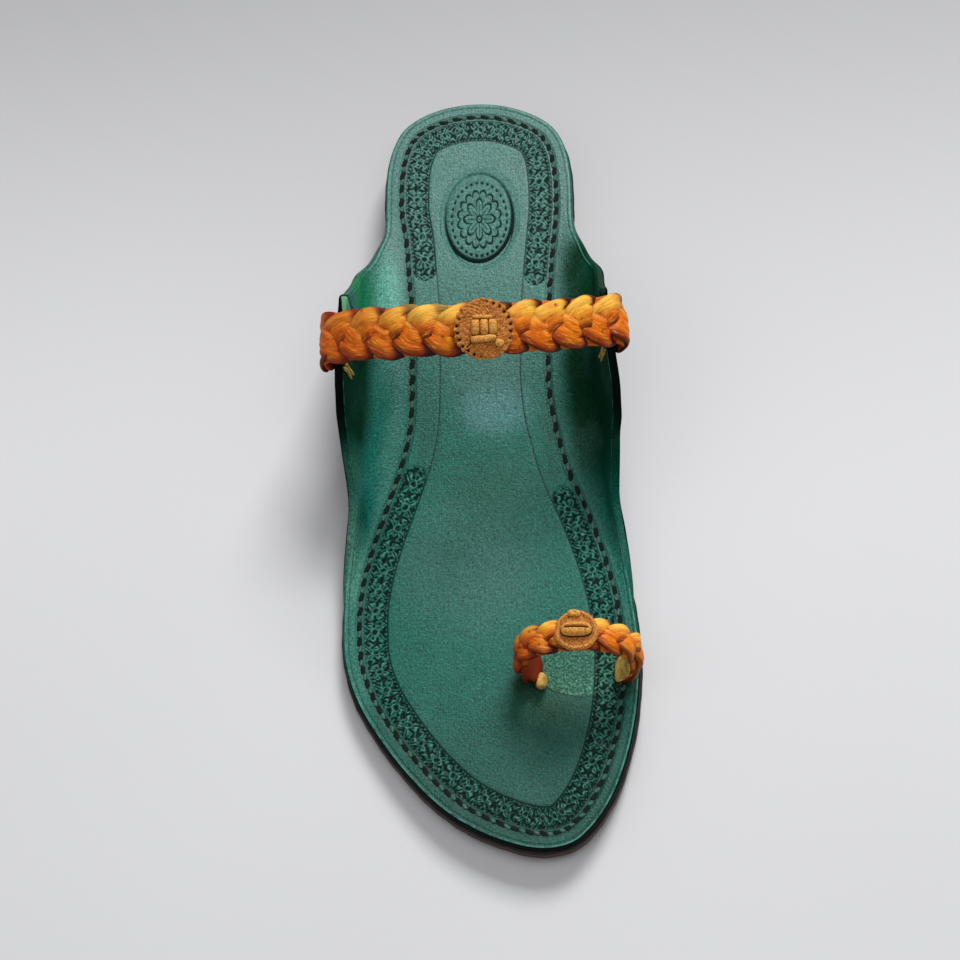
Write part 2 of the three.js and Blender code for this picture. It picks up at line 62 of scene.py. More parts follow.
# Outline: a width, and rows of along, lateral and medial shares of it
OUTLINE_ROWS = (
    (HEEL_WIDTH, ((0, -0.042, -0.042), (0.0075, -0.252, 0.155), (0.031, -0.424, 0.339),
                  (0.0597, -0.494, 0.419), (0.1, -0.53, 0.456), (0.15, -0.535, 0.465))),
    (WAIST_WIDTH, ((0.2, -0.574, 0.509), (0.25, -0.555, 0.489), (0.31, -0.536, 0.471),
                   (0.37, -0.535, 0.465), (0.42, -0.538, 0.478), (0.46, -0.558, 0.517))),
    (BALL_WIDTH, ((0.5, -0.354, 0.331), (0.55, -0.4, 0.388), (0.6, -0.444, 0.437),
                  (0.653, -0.477, 0.477), (0.7, -0.488, 0.5), (0.752, -0.481, 0.511),
                  (0.806, -0.437, 0.504), (0.862, -0.348, 0.479), (0.919, -0.226, 0.431),
                  (0.953, -0.128, 0.384), (0.9765, -0.026, 0.335), (0.992, 0.075, 0.285),
                  (1, 0.191, 0.191))),
)
OUTLINE = np.array([(along, width * lateral, width * medial)
                    for width, rows in OUTLINE_ROWS for along, lateral, medial in rows])
OUTLINE_TURNS = np.arccos(1 - 2 * OUTLINE[:, 0])
EDGES = {LATERAL: OUTLINE[:, 1], MEDIAL: OUTLINE[:, 2]}
# Ears: along, reach, turn and radius as shares
EARS = np.array([
    (0, 0, 0, 1), (0.15, 0, 0, 1), (0.185, 0.024, 0.2, 1), (0.21, 0.09, 0.45, 1),
    (0.24, 0.19, 0.7, 1), (0.28, 0.43, 0.92, 1), (0.325, 0.78, 1, 1), (0.351, 1, 1, 1),
    (0.4, 0.95, 0.96, 1), (0.44, 0.86, 0.93, 1), (0.474, 0.71, 0.92, 0.97),
    (0.504, 0.53, 0.9, 0.78), (0.552, 0.26, 0.88, 0.42), (0.597, 0.1, 0.82, 0.28),
    (0.63, 0.035, 0.55, 0.25), (0.66, 0.01, 0.25, 0.25), (0.69, 0, 0, 0.25),
    (1, 0, 0, 0.25),
])

# Strap, ring and what they carry
STRAP_WIDTH, STRAP_THICKNESS, STRAP_PITCH = 17.2, 4.4, 10.3
STRAP_PLACE, STRAP_SKEW = 0.394, 0.006
STRAP_RISE, STRAP_FORWARD, STRAP_TILT = 16, 8, 28
STRAP_LAP, STRAP_POINT = 13, 9
RING_WIDTH, RING_THICKNESS, RING_PITCH = 11, 4.6, 7.4
RING_PLACE, RING_CENTRE = 0.772, 0.307
RING_SPAN, RING_FOOT_SPAN, RING_HEIGHT, RING_LEAN = 41.5, 32.7, 28, 2.5
ROSETTE_DIAMETER, ROSETTE_THICKNESS, ROSETTE_TEETH = 19.5, 1.6, 24
ROSETTE_TOOTH, ROSETTE_OFFSET = 1.1, 4.5
BUTTON_DIAMETER, BUTTON_THICKNESS = 13.5, 1.6
BEAN_LENGTH, BEAN_WIDTH, BEAN_HEIGHT = 10, 5, 2.6
LASHING_LENGTH, LASHING_INSET = 10, 2


# Curves and the leather's shape
def smooth(low, high, value):
    """0 below low, 1 above high and an S curve between them."""
    share = np.clip((value - low) / (high - low), 0, 1)
    return share * share * (3 - 2 * share)


def bell(offset, half):
    """1 at no offset, and a bell's fall to either side."""
    return np.exp(-(offset / half) ** 2)


def squarer(wave, power):
    """A sine or cosine with its swing made fuller."""
    return np.sign(wave) * np.abs(wave) ** power


def round_angles(count):
    return np.linspace(0, 2 * pi, count, endpoint=False)


def unit(vectors):
    return vectors / np.linalg.norm(vectors, axis=-1, keepdims=True)


def cubic(u, start, leaving, end, arriving):
    """Cubic from start to end as u goes from 0 to 1, with its slopes at both."""
    return ((2 * u**3 - 3 * u**2 + 1) * start + (u**3 - 2 * u**2 + u) * leaving
            + (3 * u**2 - 2 * u**3) * end + (u**3 - u**2) * arriving)


def read_table(xs, ys, x):
    """Cubic through a table's rows, level at a peak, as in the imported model."""
    rate = np.diff(ys) / np.diff(xs)
    before, after = rate[:-1], rate[1:]
    mean = (ys[2:] - ys[:-2]) / (xs[2:] - xs[:-2])
    limit = 3 * np.minimum(np.abs(before), np.abs(after))
    inner = np.where(before * after <= 0, 0, np.clip(mean, -limit, limit))
    slope = np.concatenate([rate[:1], inner, rate[-1:]])
    i = np.clip(np.searchsorted(xs, x) - 1, 0, len(xs) - 2)
    span = xs[i + 1] - xs[i]
    u = np.clip((x - xs[i]) / span, 0, 1)
    return cubic(u, ys[i], span * slope[i], ys[i + 1], span * slope[i + 1])


def y_at(along):
    return SOLE_LENGTH * (0.5 - along)


def edge_x(side, along):
    """The sole's edge on one side, read by an angle that runs evenly round the ends."""
    turns = np.arccos(np.clip(1 - 2 * along, -1, 1))
    return read_table(OUTLINE_TURNS, EDGES[side], turns)


def sole_rise(y):
    """Height of the outsole's underside: level at heel and ball, up a little at the toe."""
    along = 0.5 - y / SOLE_LENGTH
    arch = np.clip((along - HEEL_SEAT_END) / (TREAD_START - HEEL_SEAT_END), 0, 1)
    toe = np.clip((along - TREAD_END) / (1 - TREAD_END), 0, 1)
    return (HEEL_HEIGHT + GAP) * (1 + np.cos(pi * arch)) / 2 + TOE_SPRING * toe**2


def footbed_top(y):
    return sole_rise(y) + OUTSOLE_THICKNESS + GAP + FOOTBED_THICKNESS


def ear_section(side, y):
    """The fold line, the leather's width beyond it, its turn and its fold's radius."""
    along = np.clip(0.5 - y / SOLE_LENGTH, 0, 1)
    lateral, medial = edge_x(LATERAL, along), edge_x(MEDIAL, along)
    rim = np.minimum(FOLD_INSET, RIM_SHARE * (medial - lateral) / 2)
    reach, turn, radius = (read_table(EARS[:, 0], EARS[:, k], along) for k in (1, 2, 3))
    edge = np.where(side > 0, medial, lateral)
    width = rim + reach * (EAR_WIDTH - rim)
    return edge - side * rim, width, radians(EAR_TURN) * turn, EAR_FOLD_RADIUS * radius


def leather(side, x, y, depth=0.0):
    """A place of the footbed's leather from its flat pattern: level as far as the fold,
    then round an arc of the fold's radius, then straight. depth is below the upper face."""
    fold, width, turn, radius = ear_section(side, y)
    distance = side * (x - fold)
    bend = np.clip(distance / radius, 0, turn)
    straight = np.maximum(distance - radius * turn, 0)
    across = (np.minimum(distance, 0) + radius * np.sin(bend)
              + straight * np.cos(turn) + depth * np.sin(bend))
    up = radius * (1 - np.cos(bend)) + straight * np.sin(turn) - depth * np.cos(bend)
    return np.stack([fold + side * across, y + 0 * across, footbed_top(y) + up], axis=-1)


# Points along each side of the outline, and round it
LOOP_HALF = 400
LOOP = 2 * LOOP_HALF


def sole_loop():
    """The sole's outline as a closed loop of even steps, from the heel's middle along the
    medial side to the toe and back: side, x and y."""
    def edge(side, turn):
        along = (1 - np.cos(turn)) / 2
        return np.stack([edge_x(side, along), y_at(along)])

    turn = np.linspace(0, pi, 6001)
    halves = []
    for side in (MEDIAL, LATERAL):
        length = np.append(0, np.cumsum(np.hypot(*np.diff(edge(side, turn)))))
        even = np.linspace(0, length[-1], LOOP_HALF + 1)
        halves.append(edge(side, np.interp(even, length, turn)))
    x, y = np.concatenate([halves[0], halves[1][:, -2:0:-1]], axis=1)
    return np.where(np.arange(LOOP) <= LOOP_HALF, MEDIAL, LATERAL), x, y


def inward(x, y):
    """Inward normals of a closed loop that runs clockwise seen from above."""
    step_x, step_y = np.roll(x, -1) - np.roll(x, 1), np.roll(y, -1) - np.roll(y, 1)
    length = np.hypot(step_x, step_y)
    return step_y / length, -step_x / length


LOOP_SIDE, SOLE_X, SOLE_Y = sole_loop()
SOLE_NX, SOLE_NY = inward(SOLE_X, SOLE_Y)
LOOP_RUN = np.append(0, np.cumsum(np.hypot(np.diff(SOLE_X, append=SOLE_X[0]),
                                           np.diff(SOLE_Y, append=SOLE_Y[0]))))
LOOP_LENGTH = LOOP_RUN[-1]


def inset_sole(inset):
    """The outline's x and y, moved in by an inset."""
    return SOLE_X + inset * SOLE_NX, SOLE_Y + inset * SOLE_NY


def along_sole(run, inset):
    """Side, x and y at a run along the outline and an inset from it."""
    run = np.mod(run, LOOP_LENGTH)
    x, y, nx, ny = (np.interp(run, LOOP_RUN, np.append(values, values[0]))
                    for values in (SOLE_X, SOLE_Y, SOLE_NX, SOLE_NY))
    return np.where(run <= LOOP_RUN[LOOP_HALF], MEDIAL, LATERAL), x + inset * nx, y + inset * ny


def run_at(side, y, inset):
    """The run along one side of the outline where the inset line crosses y."""
    pick = np.flatnonzero(LOOP_SIDE == side)
    line = inset_sole(inset)[1][pick]
    order = np.argsort(line)
    return float(np.interp(y, line[order], LOOP_RUN[pick][order]))


# Making meshes
def grid(rows, columns, wrap=False):
    """Four-sided faces of points stored row by row. wrap joins last and first column."""
    table = np.arange(rows * columns).reshape(rows, columns)
    after = np.roll(table, -1, axis=1) if wrap else table[:, 1:]
    table = table if wrap else table[:, :-1]
    return np.stack([table[:-1], table[1:], after[1:], after[:-1]], axis=-1).reshape(-1, 4)


def fan(centre, ring, flip=False):
    """Triangles from a centre to a closed ring of points."""
    after = np.roll(ring, -1)
    middle = np.full(len(ring), centre)
    return np.stack([middle, after, ring] if flip else [middle, ring, after], axis=-1)


def facing_out(points, faces):
    """Turns all faces round where the closed body that they make is inside out."""
    volume = 0.0
    for table in faces:
        for k in range(2, table.shape[1]):
            a, b, c = (points[table[:, corner]] for corner in (0, k - 1, k))
            volume += np.einsum("ij,ij->", a, np.cross(b, c))
    return [table[:, ::-1] for table in faces] if volume < 0 else faces


def in_scene(name, data):
    made = bpy.data.objects.new(name, data)
    bpy.context.scene.collection.objects.link(made)
    return made


def piece(name, parts, finish, nodes=(), marks=None):
    """Makes one piece of closed bodies, each a pair of points and face tables. marks are
    numbers kept for each point, for the finish to read."""
    offset = 0
    tables = []
    for points, faces in parts:
        tables += [table + offset for table in facing_out(points, faces)]
        offset += len(points)
    places = (np.concatenate([points for points, _ in parts]) - CENTRE) * MM
    sizes = np.concatenate([np.full(len(table), table.shape[1]) for table in tables])
    corners = np.concatenate([table.ravel() for table in tables])
    mesh = bpy.data.meshes.new(name)
    mesh.vertices.add(len(places))
    mesh.vertices.foreach_set("co", places.ravel())
    mesh.loops.add(len(corners))
    mesh.loops.foreach_set("vertex_index", corners.astype(np.int32))
    mesh.polygons.add(len(sizes))
    mesh.polygons.foreach_set("loop_start", np.append(0, np.cumsum(sizes)[:-1]))
    mesh.update(calc_edges=True)
    mesh.shade_smooth()
    for mark, values in (marks or {}).items():
        layer = mesh.attributes.new(mark, "FLOAT", "POINT")
        layer.data.foreach_set("value", np.ascontiguousarray(values, dtype=np.float32))
    mesh.materials.append(finish)
    made = in_scene(name, mesh)
    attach(made, "root")
    if nodes:
        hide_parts(*nodes)


def tube(rings):
    """A closed body through rings of equal length, with a pole at each end."""
    count, size = rings.shape[:2]
    last = count * size
    points = np.concatenate([rings.reshape(-1, 3), rings[:1].mean(1), rings[-1:].mean(1)])
    ends = [fan(last, np.arange(size)), fan(last + 1, np.arange(last - size, last), flip=True)]
    return points, [grid(count, size, wrap=True), np.concatenate(ends)]


def plate(rings, flats, cells, fills):
    """A closed plate: rings from under it, out round its edge and in over its top. Rows of
    cells from side to side fill the open middle of the last and the first ring. flats
    holds those rings' x and y, and fills gives a place from an x and y."""
    points, quads, triangles = [rings.reshape(-1, 3)], [grid(len(rings), LOOP, wrap=True)], []
    start = len(points[0])
    share = np.linspace(0, 1, cells + 1)[1:-1, None]
    for ring, flat, fill, way in ((len(rings) - 1, flats[0], fills[0], 1),
                                  (0, flats[1], fills[1], -1)):
        medial, lateral = flat[1:LOOP_HALF, None], flat[:LOOP_HALF:-1, None]
        xy = medial * (1 - share) + lateral * share
        points.append(fill(xy[..., 0], xy[..., 1]).reshape(-1, 3))
        inner = start + np.arange((LOOP_HALF - 1) * (cells - 1)).reshape(LOOP_HALF - 1, -1)
        start += inner.size
        base = ring * LOOP
        rows = np.column_stack([base + np.arange(1, LOOP_HALF), inner,
                                base + np.arange(LOOP - 1, LOOP_HALF, -1)])
        cross = np.stack([rows[:-1, :-1], rows[:-1, 1:], rows[1:, 1:], rows[1:, :-1]], -1)
        heel, toe = np.full(cells, base), np.full(cells, base + LOOP_HALF)
        ends = np.concatenate([np.stack([heel, rows[0, 1:], rows[0, :-1]], -1),
                               np.stack([toe, rows[-1, :-1], rows[-1, 1:]], -1)])
        quads.append(cross.reshape(-1, 4)[:, ::way])
        triangles.append(ends[:, ::way])
    return np.concatenate(points), [np.concatenate(quads), np.concatenate(triangles)]


# The footbed: pressed lines, the stitch channel, creases, and its cut edge
STITCH_INSET = 5.4
STITCH_PITCH = 5.5
CHANNEL_DEPTH = 0.42
HEM_LINE, FIELD_LINE, CUT_LINE = 6.75, 14.7, 1.75
BAND_INSET, BAND_HALF = 10.7, 4.1
BORDER_START, BORDER_END = 3.0, 15.4
BORDER_RINGS, EAR_RINGS, UNDER_RINGS, FILL_CELLS, SOLE_CELLS = 38, 24, 12, 36, 10
OVAL_CENTRE, OVAL_HALF = (-2.1, 88.8), (12.05, 18.0)
EDGE_ROLL = 0.85
# Cut edge of the leather, from its under side up: inset and depth
EDGE_PROFILE = ((0.45, 2.8), (0.14, 2.6), (0.02, 2.2), (0, 1.4), (0.03, 0.75), (0.14, 0.36),
                (0.38, 0.1))
BAND_RUNS = (
    (run_at(LATERAL, 65.4, BAND_INSET) - LOOP_LENGTH, run_at(MEDIAL, 62.7, BAND_INSET)),
    (run_at(MEDIAL, -7.9, BAND_INSET), run_at(LATERAL, 0.6, BAND_INSET)),
)
# Creases of the ears: x, y, way they run in degrees, half length, half width, depth
CREASES = {
    LATERAL: ((-44, 52, 78, 30, 5, 0.7), (-58, 24, 84, 30, 7, -0.6), (-38, 2, 70, 26, 4, 0.6),
              (-66, 40, 60, 16, 4, 0.5), (-46, -16, 62, 24, 4, -0.4), (-54, 12, 20, 12, 3, 0.35)),
    MEDIAL: ((42, 46, -78, 30, 5, 0.7), (56, 20, -84, 30, 7, -0.6), (38, -4, -70, 26, 4, 0.6),
             (62, 36, -58, 16, 4, 0.5), (48, -18, -64, 22, 4, -0.4), (52, 8, -24, 12, 3, 0.35)),
}


def band_cover(run, inset):
    """1 where a tooled band lies on the leather, from its runs, its width and round ends."""
    cover = np.zeros(np.broadcast(run, inset).shape)
    for start, end in BAND_RUNS:
        offset = run - (start + end) / 2 + LOOP_LENGTH / 2
        offset = np.mod(offset, LOOP_LENGTH) - LOOP_LENGTH / 2
        past = np.maximum(np.abs(offset) - ((end - start) / 2 - BAND_HALF), 0)
        reach = np.hypot(past, inset - BAND_INSET)
        cover = np.maximum(cover, 1 - smooth(BAND_HALF - 0.65, BAND_HALF - 0.25, reach))
    return cover


def crease_depth(side, x, y):
    """Sum of soft troughs and ridges, each a bell across its line that fades at its ends."""
    depth = 0.0
    for crease_side, rows in CREASES.items():
        for at_x, at_y, way, half_length, half_width, deep in rows:
            turn = radians(way)
            run = (x - at_x) * cos(turn) + (y - at_y) * sin(turn)
            off = (y - at_y) * cos(turn) - (x - at_x) * sin(turn)
            deep = deep * bell(off, half_width) * bell(run, half_length)
            depth = depth + np.where(side == crease_side, deep, 0)
    return depth


def footbed_marks(side, x, y, run, inset, cut):
    """Depth of the upper face below the plain leather: the stitch channel, three pressed
    lines, the bands' beds and the creases. run, inset and cut are a place's run along the
    outline, its inset from it and its distance from the cut edge."""
    hem = 1 - smooth(6, 14, ear_section(side, y)[1])
    depth = CHANNEL_DEPTH * np.exp(-((inset - STITCH_INSET) / 0.95) ** 4)
    depth = depth + 0.16 * bell(inset - HEM_LINE, 0.3) + 0.12 * bell(inset - FIELD_LINE, 0.35)
    depth = depth + 0.14 * bell(cut - CUT_LINE, 0.3) * hem + 0.95 * band_cover(run, inset)
    return depth + crease_depth(side, x, y)


def footbed():
    """Rings follow the flat pattern: round the cut edge, over the ears to the sole's rim,
    and at finer steps over the border. Cross rows fill the middle."""
    side, run = LOOP_SIDE, LOOP_RUN[:-1]
    fold, width, _, _ = ear_section(side, SOLE_Y)
    cut_x, cut_y = fold + side * width, SOLE_Y
    cut_nx, cut_ny = inward(cut_x, cut_y)
    roll_x, roll_y = cut_x + EDGE_ROLL * cut_nx, cut_y + EDGE_ROLL * cut_ny
    rim_x, rim_y = inset_sole(BORDER_START)
    rings, flats = [], []
    marks = {"inset": [], "cut": [], "outer": [], "beyond": []}

    def add(x, y, cut, inset, depth=None):
        if depth is None:
            depth = footbed_marks(side, x, y, run, inset, cut)
        rings.append(leather(side, x, y, depth))
        flats.append(np.stack([x, y], -1))
        marks["inset"].append(np.broadcast_to(inset, x.shape))
        marks["cut"].append(np.broadcast_to(cut, x.shape))
        marks["outer"].append(smooth(1.2, 2.4, depth + 0 * x))
        marks["beyond"].append(side * (x - ear_section(side, y)[0]) * smooth(2, 12, width))

    def from_roll_to_rim(shares, under):
        reach = np.hypot(rim_x - roll_x, rim_y - roll_y)
        for share in shares:
            x, y = roll_x + (rim_x - roll_x) * share, roll_y + (rim_y - roll_y) * share
            add(x, y, EDGE_ROLL + share * reach, BORDER_START - (1 - share) * reach,
                FOOTBED_THICKNESS + crease_depth(side, x, y) if under else None)

    def border(insets, depth=None):
        reach = np.hypot(rim_x - cut_x, rim_y - cut_y)
        for inset in insets:
            x, y = inset_sole(inset)
            y[:LOOP_HALF] = np.minimum.accumulate(y[:LOOP_HALF])
            y[LOOP_HALF:] = np.maximum.accumulate(y[LOOP_HALF:])
            add(x, y, reach + inset - BORDER_START, inset, depth)

    border((BORDER_END, 9.0), FOOTBED_THICKNESS)
    from_roll_to_rim(np.linspace(1, 0, UNDER_RINGS), True)
    for inset, depth in EDGE_PROFILE:
        x, y = cut_x + inset * cut_nx, cut_y + inset * cut_ny
        add(x, y, inset, inset - side * (cut_x - SOLE_X), depth + crease_depth(side, x, y))
    from_roll_to_rim(np.linspace(0, 1, EAR_RINGS), False)
    border(np.linspace(BORDER_START, BORDER_END, BORDER_RINGS + 1)[1:])

    def top(x, y):
        reach = np.hypot((x - OVAL_CENTRE[0]) / OVAL_HALF[0], (y - OVAL_CENTRE[1]) / OVAL_HALF[1])
        return leather(MEDIAL, x, y, 1.7 * (1 - smooth(1.03, 1.09, reach)))

    under = lambda x, y: leather(MEDIAL, x, y, FOOTBED_THICKNESS)
    points, faces = plate(np.array(rings), (flats[-1], flats[0]), FILL_CELLS, (top, under))
    filled = len(points) - len(rings) * LOOP
    for mark, value in (("inset", BORDER_END), ("cut", 2 * BORDER_END), ("outer", 0.0),
                        ("beyond", -10.0)):
        marks[mark] = np.append(np.ravel(marks[mark]), np.full(filled, value))
    piece("dyed_footbed", [(points, faces)], DYED, ["footbed"], marks)


# Tooled bands: flowers and ringed buds by turns, with leaves round each bud
MOTIF_PITCH = 8.2
BAND_STEP, BAND_COLUMNS = 0.26, 34


def motif(a, b):
    """Height from 0, the pressed ground, to 1, the raised work. a runs along the band and
    b across it. A flower has five petals round a bored eye. A bud is a ring, and four
    slanting leaves with a pressed vein stand round it. No two are quite alike."""
    a = a + 0.3 * np.sin(0.61 * a) + 0.2 * np.sin(1.9 * b + 0.4 * a)
    cell = np.floor(a / MOTIF_PITCH)
    sway = np.sin(12.9 * cell + 1.7)
    da = np.mod(a, MOTIF_PITCH) - MOTIF_PITCH / 2
    off = b - 0.3 * sway
    radius, angle = np.hypot(da, off), np.arctan2(off, da) + 2.1 * cell
    petal = np.abs(np.cos(2.5 * angle))
    flower = 1 - smooth(-0.2, 0.25, radius - 1.75 - 1.1 * petal**0.7)
    flower = flower * (1 - bell(radius * (1 - petal), 0.32)) * (1 - bell(radius - 0.9, 0.28))
    da = np.mod(a + MOTIF_PITCH / 2, MOTIF_PITCH) - MOTIF_PITCH / 2
    off = b + 0.35 * sway
    bud = bell(np.hypot(da, off) - 1.2, 0.45)
    leaf = 0 * bud
    for turn in np.radians((48, 132)):
        along = np.abs(da * cos(turn) + np.abs(off) * sin(turn) - 2.55)
        across = np.abs(np.abs(off) * cos(turn) - da * sin(turn))
        blade = 1 - smooth(-0.15, 0.2, np.hypot(across + 1.0, along) - 1.85)
        leaf = np.maximum(leaf, blade * (1 - bell(across, 0.24)))
    beads = 0.5 + 0.5 * np.cos(2 * pi * a / 1.7)
    beads = 0.95 * beads * (1 - smooth(0.25, 0.5, np.abs(np.abs(b) - 3.5)))
    spread = 0.8 + 0.2 * np.sin(1.3 * a + 2 * b)
    curl = 0.66 * np.abs(np.sin(1.7 * a + 1.4 * np.sin(1.3 * b)) * np.cos(1.4 * b + 0.6 * a))
    return np.clip(np.maximum.reduce([flower, leaf, bud, beads, curl]) * spread, 0, 1)


def tooled_bands():
    """Each band is a strip of the motif's height, sunk at its lip, with round ends: half
    its width is the height of a circle's arc there."""
    bodies, reliefs = [], []
    for start, end in BAND_RUNS:
        run = np.arange(start, end, BAND_STEP)[:, None]
        from_end = np.minimum(run - start, end - run)
        half = BAND_HALF * np.sqrt(1 - (1 - np.minimum(from_end / BAND_HALF, 1)) ** 2)
        b = half * np.linspace(-1, 1, BAND_COLUMNS)
        lip = smooth(0.0, 0.45, np.minimum(half - np.abs(b), from_end))
        raised = motif(run - start, b) * lip
        depth = 0.55 - 0.5 * raised + 0.15 * (1 - lip)
        low = np.concatenate([b[:, -1:], b[:, :1]], axis=1)
        depths = np.concatenate([depth, np.full(low.shape, 1.4)], axis=1)
        side, x, y = along_sole(run, BAND_INSET - np.concatenate([b, low], axis=1))
        bodies.append(tube(leather(side, x, y, depths)))
        # The finish darkens low relief as painted shade and lightens high relief as painted
        # highlight.
        relief = np.concatenate([raised, np.zeros(low.shape)], axis=1)
        reliefs += [relief.ravel(), np.zeros(2)]
    piece("tooled_borders", bodies, TOOLED,
          marks={"relief": np.concatenate(reliefs)})


def pressed_oval():
    """Rings at shares of an ellipse, pressed in by bells: a rim, deepest toeward, a ring of
    dots, and a lotus whose petals' share follows the absolute cosine of the angle."""
    share = np.append(np.linspace(0.012, 1.0, 62), np.linspace(1.015, 1.18, 12))[:, None]
    angle = round_angles(220)[None]
    toeward = 0.5 - 0.5 * np.sin(angle - 0.25)
    petals = bell(share - 0.18 - 0.26 * np.abs(np.cos(4 * angle)) ** 0.7, 0.022)
    veins = bell(np.abs(np.sin(4 * angle)) * share, 0.02) * smooth(0.08, 0.1, share)
    veins = 0.8 * veins * (1 - smooth(0.33, 0.36, share))
    leaves = bell(share - 0.49 - 0.13 * np.abs(np.sin(8 * angle)) ** 0.6, 0.021)
    dots = bell(share - 0.78, 0.028) * bell(np.mod(angle * 32 / (2 * pi), 1) - 0.5, 0.24)
    eye = bell(share - 0.07, 0.014) + 0 * angle
    pressed = np.maximum.reduce([petals, veins, leaves, dots, eye])
    rim = 1.3 * toeward**1.5 * bell(share - 0.945, 0.03 + 0.05 * toeward)
    rim = rim + 0.35 * bell(share - 0.965, 0.025)
    depth = ((0.4 + 0.25 * toeward) * (1 - smooth(0.95, 1.0, share)) + rim + 0.42 * pressed
             + 0.22 * bell(share - 1.065, 0.012) * smooth(0.3, 0.8, toeward)
             - 0.02 + 0.16 * smooth(1.1, 1.18, share))
    x = OVAL_CENTRE[0] + OVAL_HALF[0] * share * np.cos(angle)
    y = OVAL_CENTRE[1] + OVAL_HALF[1] * share * np.sin(angle)
    under = leather(MEDIAL, x[::-24], y[::-24], np.full(x[::-24].shape, 1.95))
    body = tube(np.concatenate([leather(MEDIAL, x, y, depth), under]))
    # relief is low where pressed deep, and the finish darkens that as painted shade.
    relief = 0.66 * (1 - smooth(0.55, 1.3, depth)) * (1 - 0.95 * pressed)
    relief = np.append(relief.ravel(), np.ones(under.size // 3 + 2))
    piece("pressed_oval", [body], TOOLED, marks={"relief": relief})


# Stitching: slits in the channel with a two-ply thread that dips between them
STITCH_COUNT = int(round(LOOP_LENGTH / STITCH_PITCH))
# Length, width, height, height of the middle over the surface, slant and twist in turns
STITCH, TREAD_STITCH = (3.0, 1.4, 0.9, 0.14, 0.2, 0.8), (4.3, 1.1, 0.8, 0.1, 0.05, 1.0)


def bead(run, inset, shape, surface):
    """A rounded bead that lies along the outline: rings that shrink to both ends, with two
    plies as a cosine of twice the angle that turns along it."""
    length, width, height, rise, slant, twist = shape
    steps = np.linspace(-1, 1, 11)[1:-1, None]
    angle = round_angles(10)[None]
    full = (1 - np.abs(steps) ** 2.6) ** 0.5
    ply = 1 + 0.16 * np.cos(2 * (angle - twist * pi * steps)) if twist else 1
    across = full * width / 2 * np.cos(angle) * ply + slant * steps * length / 2
    up = rise + full * height / 2 * np.sin(angle) * ply
    side, x, y = along_sole(run + steps * length / 2 + 0 * across, inset + across)
    return tube(surface(side, x, y, up))


def stitching():
    """One bead for each slit, and threads above and below. The slits and the threads above are
    swayed by two sines.
    """
    over = lambda side, x, y, up: leather(side, x, y, CHANNEL_DEPTH - up)
    under = lambda side, x, y, up: np.stack([x, y, sole_rise(y) + 0.5 - up], -1)
    runs = (np.arange(STITCH_COUNT) + 0.5) * LOOP_LENGTH / STITCH_COUNT
    sway = 0.12 * np.sin(runs * 1.9) + 0.08 * np.sin(runs * 0.77)
    half = LOOP_LENGTH / STITCH_COUNT / 2
    slits, threads, below = [], [], []
    for run, off in zip(runs, sway):
        slit = (4.0 + 3 * off, 2.3 + 2 * off, 0.55, 0.02, 0.42 + 1.5 * off, 0)
        slits.append(bead(run, STITCH_INSET + off, slit, over))
        threads.append(bead(run + half, STITCH_INSET + off, STITCH, over))
        below.append(bead(run, STITCH_INSET, TREAD_STITCH, under))
    piece("awl_slits", slits, SLIT)
    piece("sole_thread", threads, THREAD)
    piece("tread_thread", below, THREAD)


# Outsole's side: distance out from the outline and height over its underside
SOLE_PROFILE = (
    (-14, 0), (-8, 0), (-6.5, 0), (-6.1, 0.45), (-5.4, 0.55), (-4.7, 0.45), (-4.3, 0),
    (-2, 0), (-0.5, 0.02), (0.1, 0.2), (0.45, 0.55), (0.58, 1.0), (0.62, 1.7), (0.6, 2.2),
    (0.5, 2.38), (0.34, 2.45), (0.5, 2.52), (0.6, 2.7), (0.62, 3.4), (0.6, 4.1), (0.5, 4.6),
    (0.3, 4.88), (0, 5), (-2, 5), (-14, 5),
)
# Heel's side: height, and how far it stands in from the outsole's edge. Each lift swells
# a little between its two joints.
HEEL_PROFILE = (
    (0, 3.0), (0.1, 2.35), (0.45, 2.02), (1.2, 1.8), (2.9, 1.5), (3.15, 1.55), (3.3, 1.85),
    (3.45, 1.5), (3.7, 1.32), (6.2, 0.85), (6.45, 0.9), (6.6, 1.2), (6.75, 0.85),
    (7.0, 0.66), (9.3, 0.2), (9.7, 0.25), (9.95, 0.6), (10, 1.2),
)


def outsole():
    """The profile is carried round the outline, and cross rows fill its two faces."""
    level = lambda up: lambda x, y: np.stack([x, y, sole_rise(y) + up], -1)
    rings, flats = [], []
    ripple = 0.06 * np.sin(LOOP_RUN[:-1] * 0.31) + 0.05 * np.sin(LOOP_RUN[:-1] * 0.83)
    for out, up in SOLE_PROFILE:
        x, y = inset_sole(-(out + ripple if out > 0.2 else out))
        rings.append(level(up)(x, y))
        flats.append(np.stack([x, y], -1))
    body = plate(np.array(rings), (flats[-1], flats[0]), SOLE_CELLS,
                 (level(OUTSOLE_THICKNESS), level(0)))
    inked = np.repeat([smooth(3.3, 4.3, up) for _, up in SOLE_PROFILE], LOOP)
    inked = np.append(inked, np.zeros(len(body[0]) - len(inked)))
    piece("layered_outsole", [body], SOLE_EDGE, ["outsole"], {"inked": inked})


